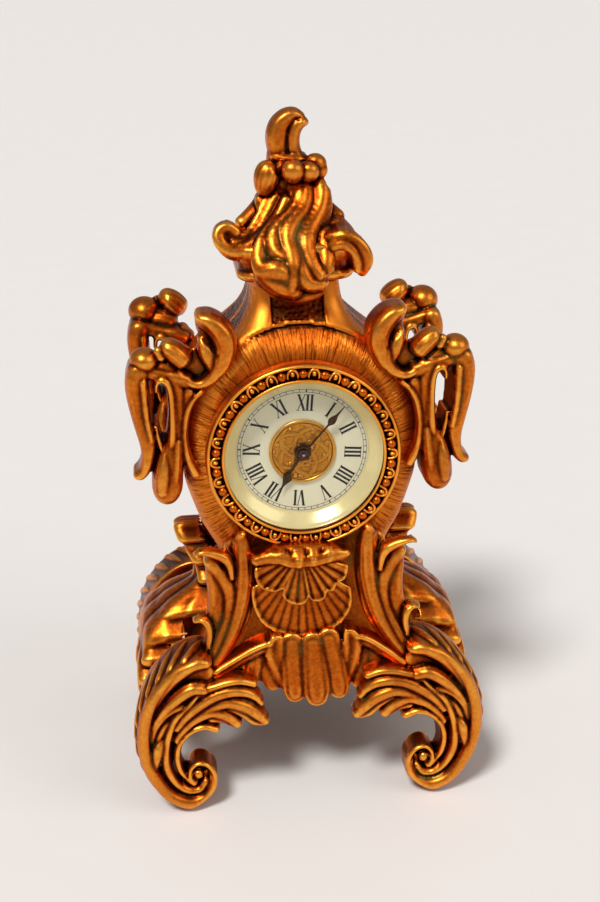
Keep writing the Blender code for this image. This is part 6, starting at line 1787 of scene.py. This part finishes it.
for part in frame["record"]["subparts"]:
    dress(frame["nodes"][part["node"]], bySlot[part["material_slot"]])
dress(frame["nodes"]["hand_nut"], handFinish)
settle(caseFront, "case", "gilt_bronze", caseFinish, "case_front")
settle(caseBack, "case", "gilt_bronze", caseFinish, "case_back")
settle(plinthCast, "case", "gilt_bronze", castFinish, "plinth")
for made in (bezelCast, caseFront, caseBack):
    markRelief(made)
settle(bezelCast, "case", "gilt_bronze", castFinish, "bezel")
circle, pairs, halfPitch = bezel["beadCircle"], bezel["pairs"], math.pi / bezel["pairs"]
beadY, tongueY = bezel["channelY"] - bezel["beadForward"], bezel["channelY"] - bezel["tongueForward"]
beads = ringOf("bezelBeads", beadBlank, pairs, circle, 0.0, beadY, castFinish, bezel["beadUneven"], 5)
circle += bezel["tongueOut"]
uneven = bezel["tongueUneven"]
tongues = ringOf("bezelTongues", tongueBlank, pairs, circle, halfPitch, tongueY, castFinish, uneven, 9)
for made in (beads, tongues):
    markRelief(made, 2, 0.6)
    settle(made, "case", "gilt_bronze", castFinish)
markRelief(dialBoss, 3, 1.6)
settle(sightRing, "case", "brass", sightFinish, "sight_ring")
settle(minuteHand, "centre", "blued_steel", handFinish, "minute_hand")
settle(hourHand, "hour", "blued_steel", handFinish, "hour_hand")
for made in (dialFigures, dialTrack):
    settle(made, "case", "dial_enamel", printFinish)
settle(dialBoss, "case", "brass", bossFinish, "dial_centre")
trackMiddle = (dialPrint["trackInner"] + dialPrint["trackOuter"]) / 2
printY = dialPrint["face"] - dialPrint["raised"] / 2 - dialPrint["clear"]
firstTick = math.radians(dialPrint["turn"])
minuteTicks = ringOf("minuteTicks", minuteTick, 60, trackMiddle, firstTick, printY, printFinish)
printY -= dialPrint["clear"]
hourTicks = ringOf("hourTicks", hourTick, 12, trackMiddle, firstTick, printY, printFinish)
for made in (minuteTicks, hourTicks):
    shaded(made, False)
    settle(made, "case", "dial_enamel", printFinish)
for blank in (beadBlank, tongueBlank, minuteTick, hourTick):
    bpy.data.objects.remove(blank, do_unlink=True)
for kind in ("leg", "handle"):
    for end in ("Front", "Back"):
        for side in ("Left", "Right"):
            made, node = bpy.data.objects[kind + end + side + "Cast"], "_".join((kind, end, side)).lower()
            settle(made, "case", "gilt_bronze", castFinish, node)
castings = (
    (finialCast, "finial"), (frontShell, "front_shell"), (frontSkirt, "front_apron"),
    (backSkirt, "back_apron"), (sideLeft, "side_leaf_left"), (sideRight, "side_leaf_right"),
)
for made, node in castings:
    settle(made, "case", "gilt_bronze", castFinish, node)
print("finishes settled")

# Floor and soft light. Suns: name, direction, strength and softness in degrees.
studio = {
    "floor": (0.80, 0.77, 0.74), "floorHalf": 30.0, "floorShare": 0.985, "floorRough": 0.8,
    "grainScale": 30.0, "world": 0.32, "backdrop": 1.0,
    "sky": (1.0, 0.97, 0.94, 1), "wall": (0.855, 0.83, 0.80, 1),
    "suns": (("keySun", (0.38, 0.55, -1.0), 2.5, 14.0), ("fillSun", (-0.8, 0.45, -0.6), 0.6, 40.0)),
}


def layFloor():
    half = studio["floorHalf"]
    mesh = bpy.data.meshes.new("floor")
    corners = [(-half, -half, 0), (half, -half, 0), (half, half, 0), (-half, half, 0)]
    mesh.from_pydata(corners, [], [(0, 1, 2, 3)])
    floor = newObject("floor", mesh)
    finish, tree, shader = newFinish("paleFloor")
    spots = addNode(tree, "ShaderNodeTexCoord")
    grain = addNode(tree, "ShaderNodeTexNoise", None, Scale=studio["grainScale"], Detail=5.0)
    tree.links.new(spots.outputs["Object"], grain.inputs["Vector"])
    low = tuple(c * studio["floorShare"] for c in studio["floor"])
    tones = ramp(tree, grain.outputs["Fac"], [(0.3, low), (0.7, studio["floor"])])
    tree.links.new(tones, shader.inputs["Base Color"])
    shader.inputs["Roughness"].default_value = studio["floorRough"]
    dress(floor, finish)


def hangLights():
    for name, towards, power, softness in studio["suns"]:
        lamp = bpy.data.lights.new(name, "SUN")
        lamp.energy = power
        lamp.angle = math.radians(softness)
        holder = newObject(name, lamp)
        holder.rotation_euler = Vector(towards).to_track_quat("-Z", "Y").to_euler()


# The sky lights the piece. What the camera sees past the floor is a pale wall.
def paintRoom():
    world = bpy.data.worlds.new("softRoom")
    scene.world = world
    world.use_nodes = True
    tree = world.node_tree
    sky = tree.nodes["Background"]
    sky.inputs["Color"].default_value = studio["sky"]
    sky.inputs["Strength"].default_value = studio["world"]
    wall = addNode(tree, "ShaderNodeBackground", None, Color=studio["wall"], Strength=studio["backdrop"])
    rays = addNode(tree, "ShaderNodeLightPath").outputs
    seen = maths(tree, "MAXIMUM", rays["Is Camera Ray"], rays["Is Transmission Ray"])
    both = addNode(tree, "ShaderNodeMixShader")
    for place, socket in enumerate((seen, sky.outputs[0], wall.outputs[0])):
        tree.links.new(socket, both.inputs[place])
    tree.links.new(both.outputs[0], tree.nodes["World Output"].inputs["Surface"])


layFloor()
hangLights()
paintRoom()
print("studio lit")
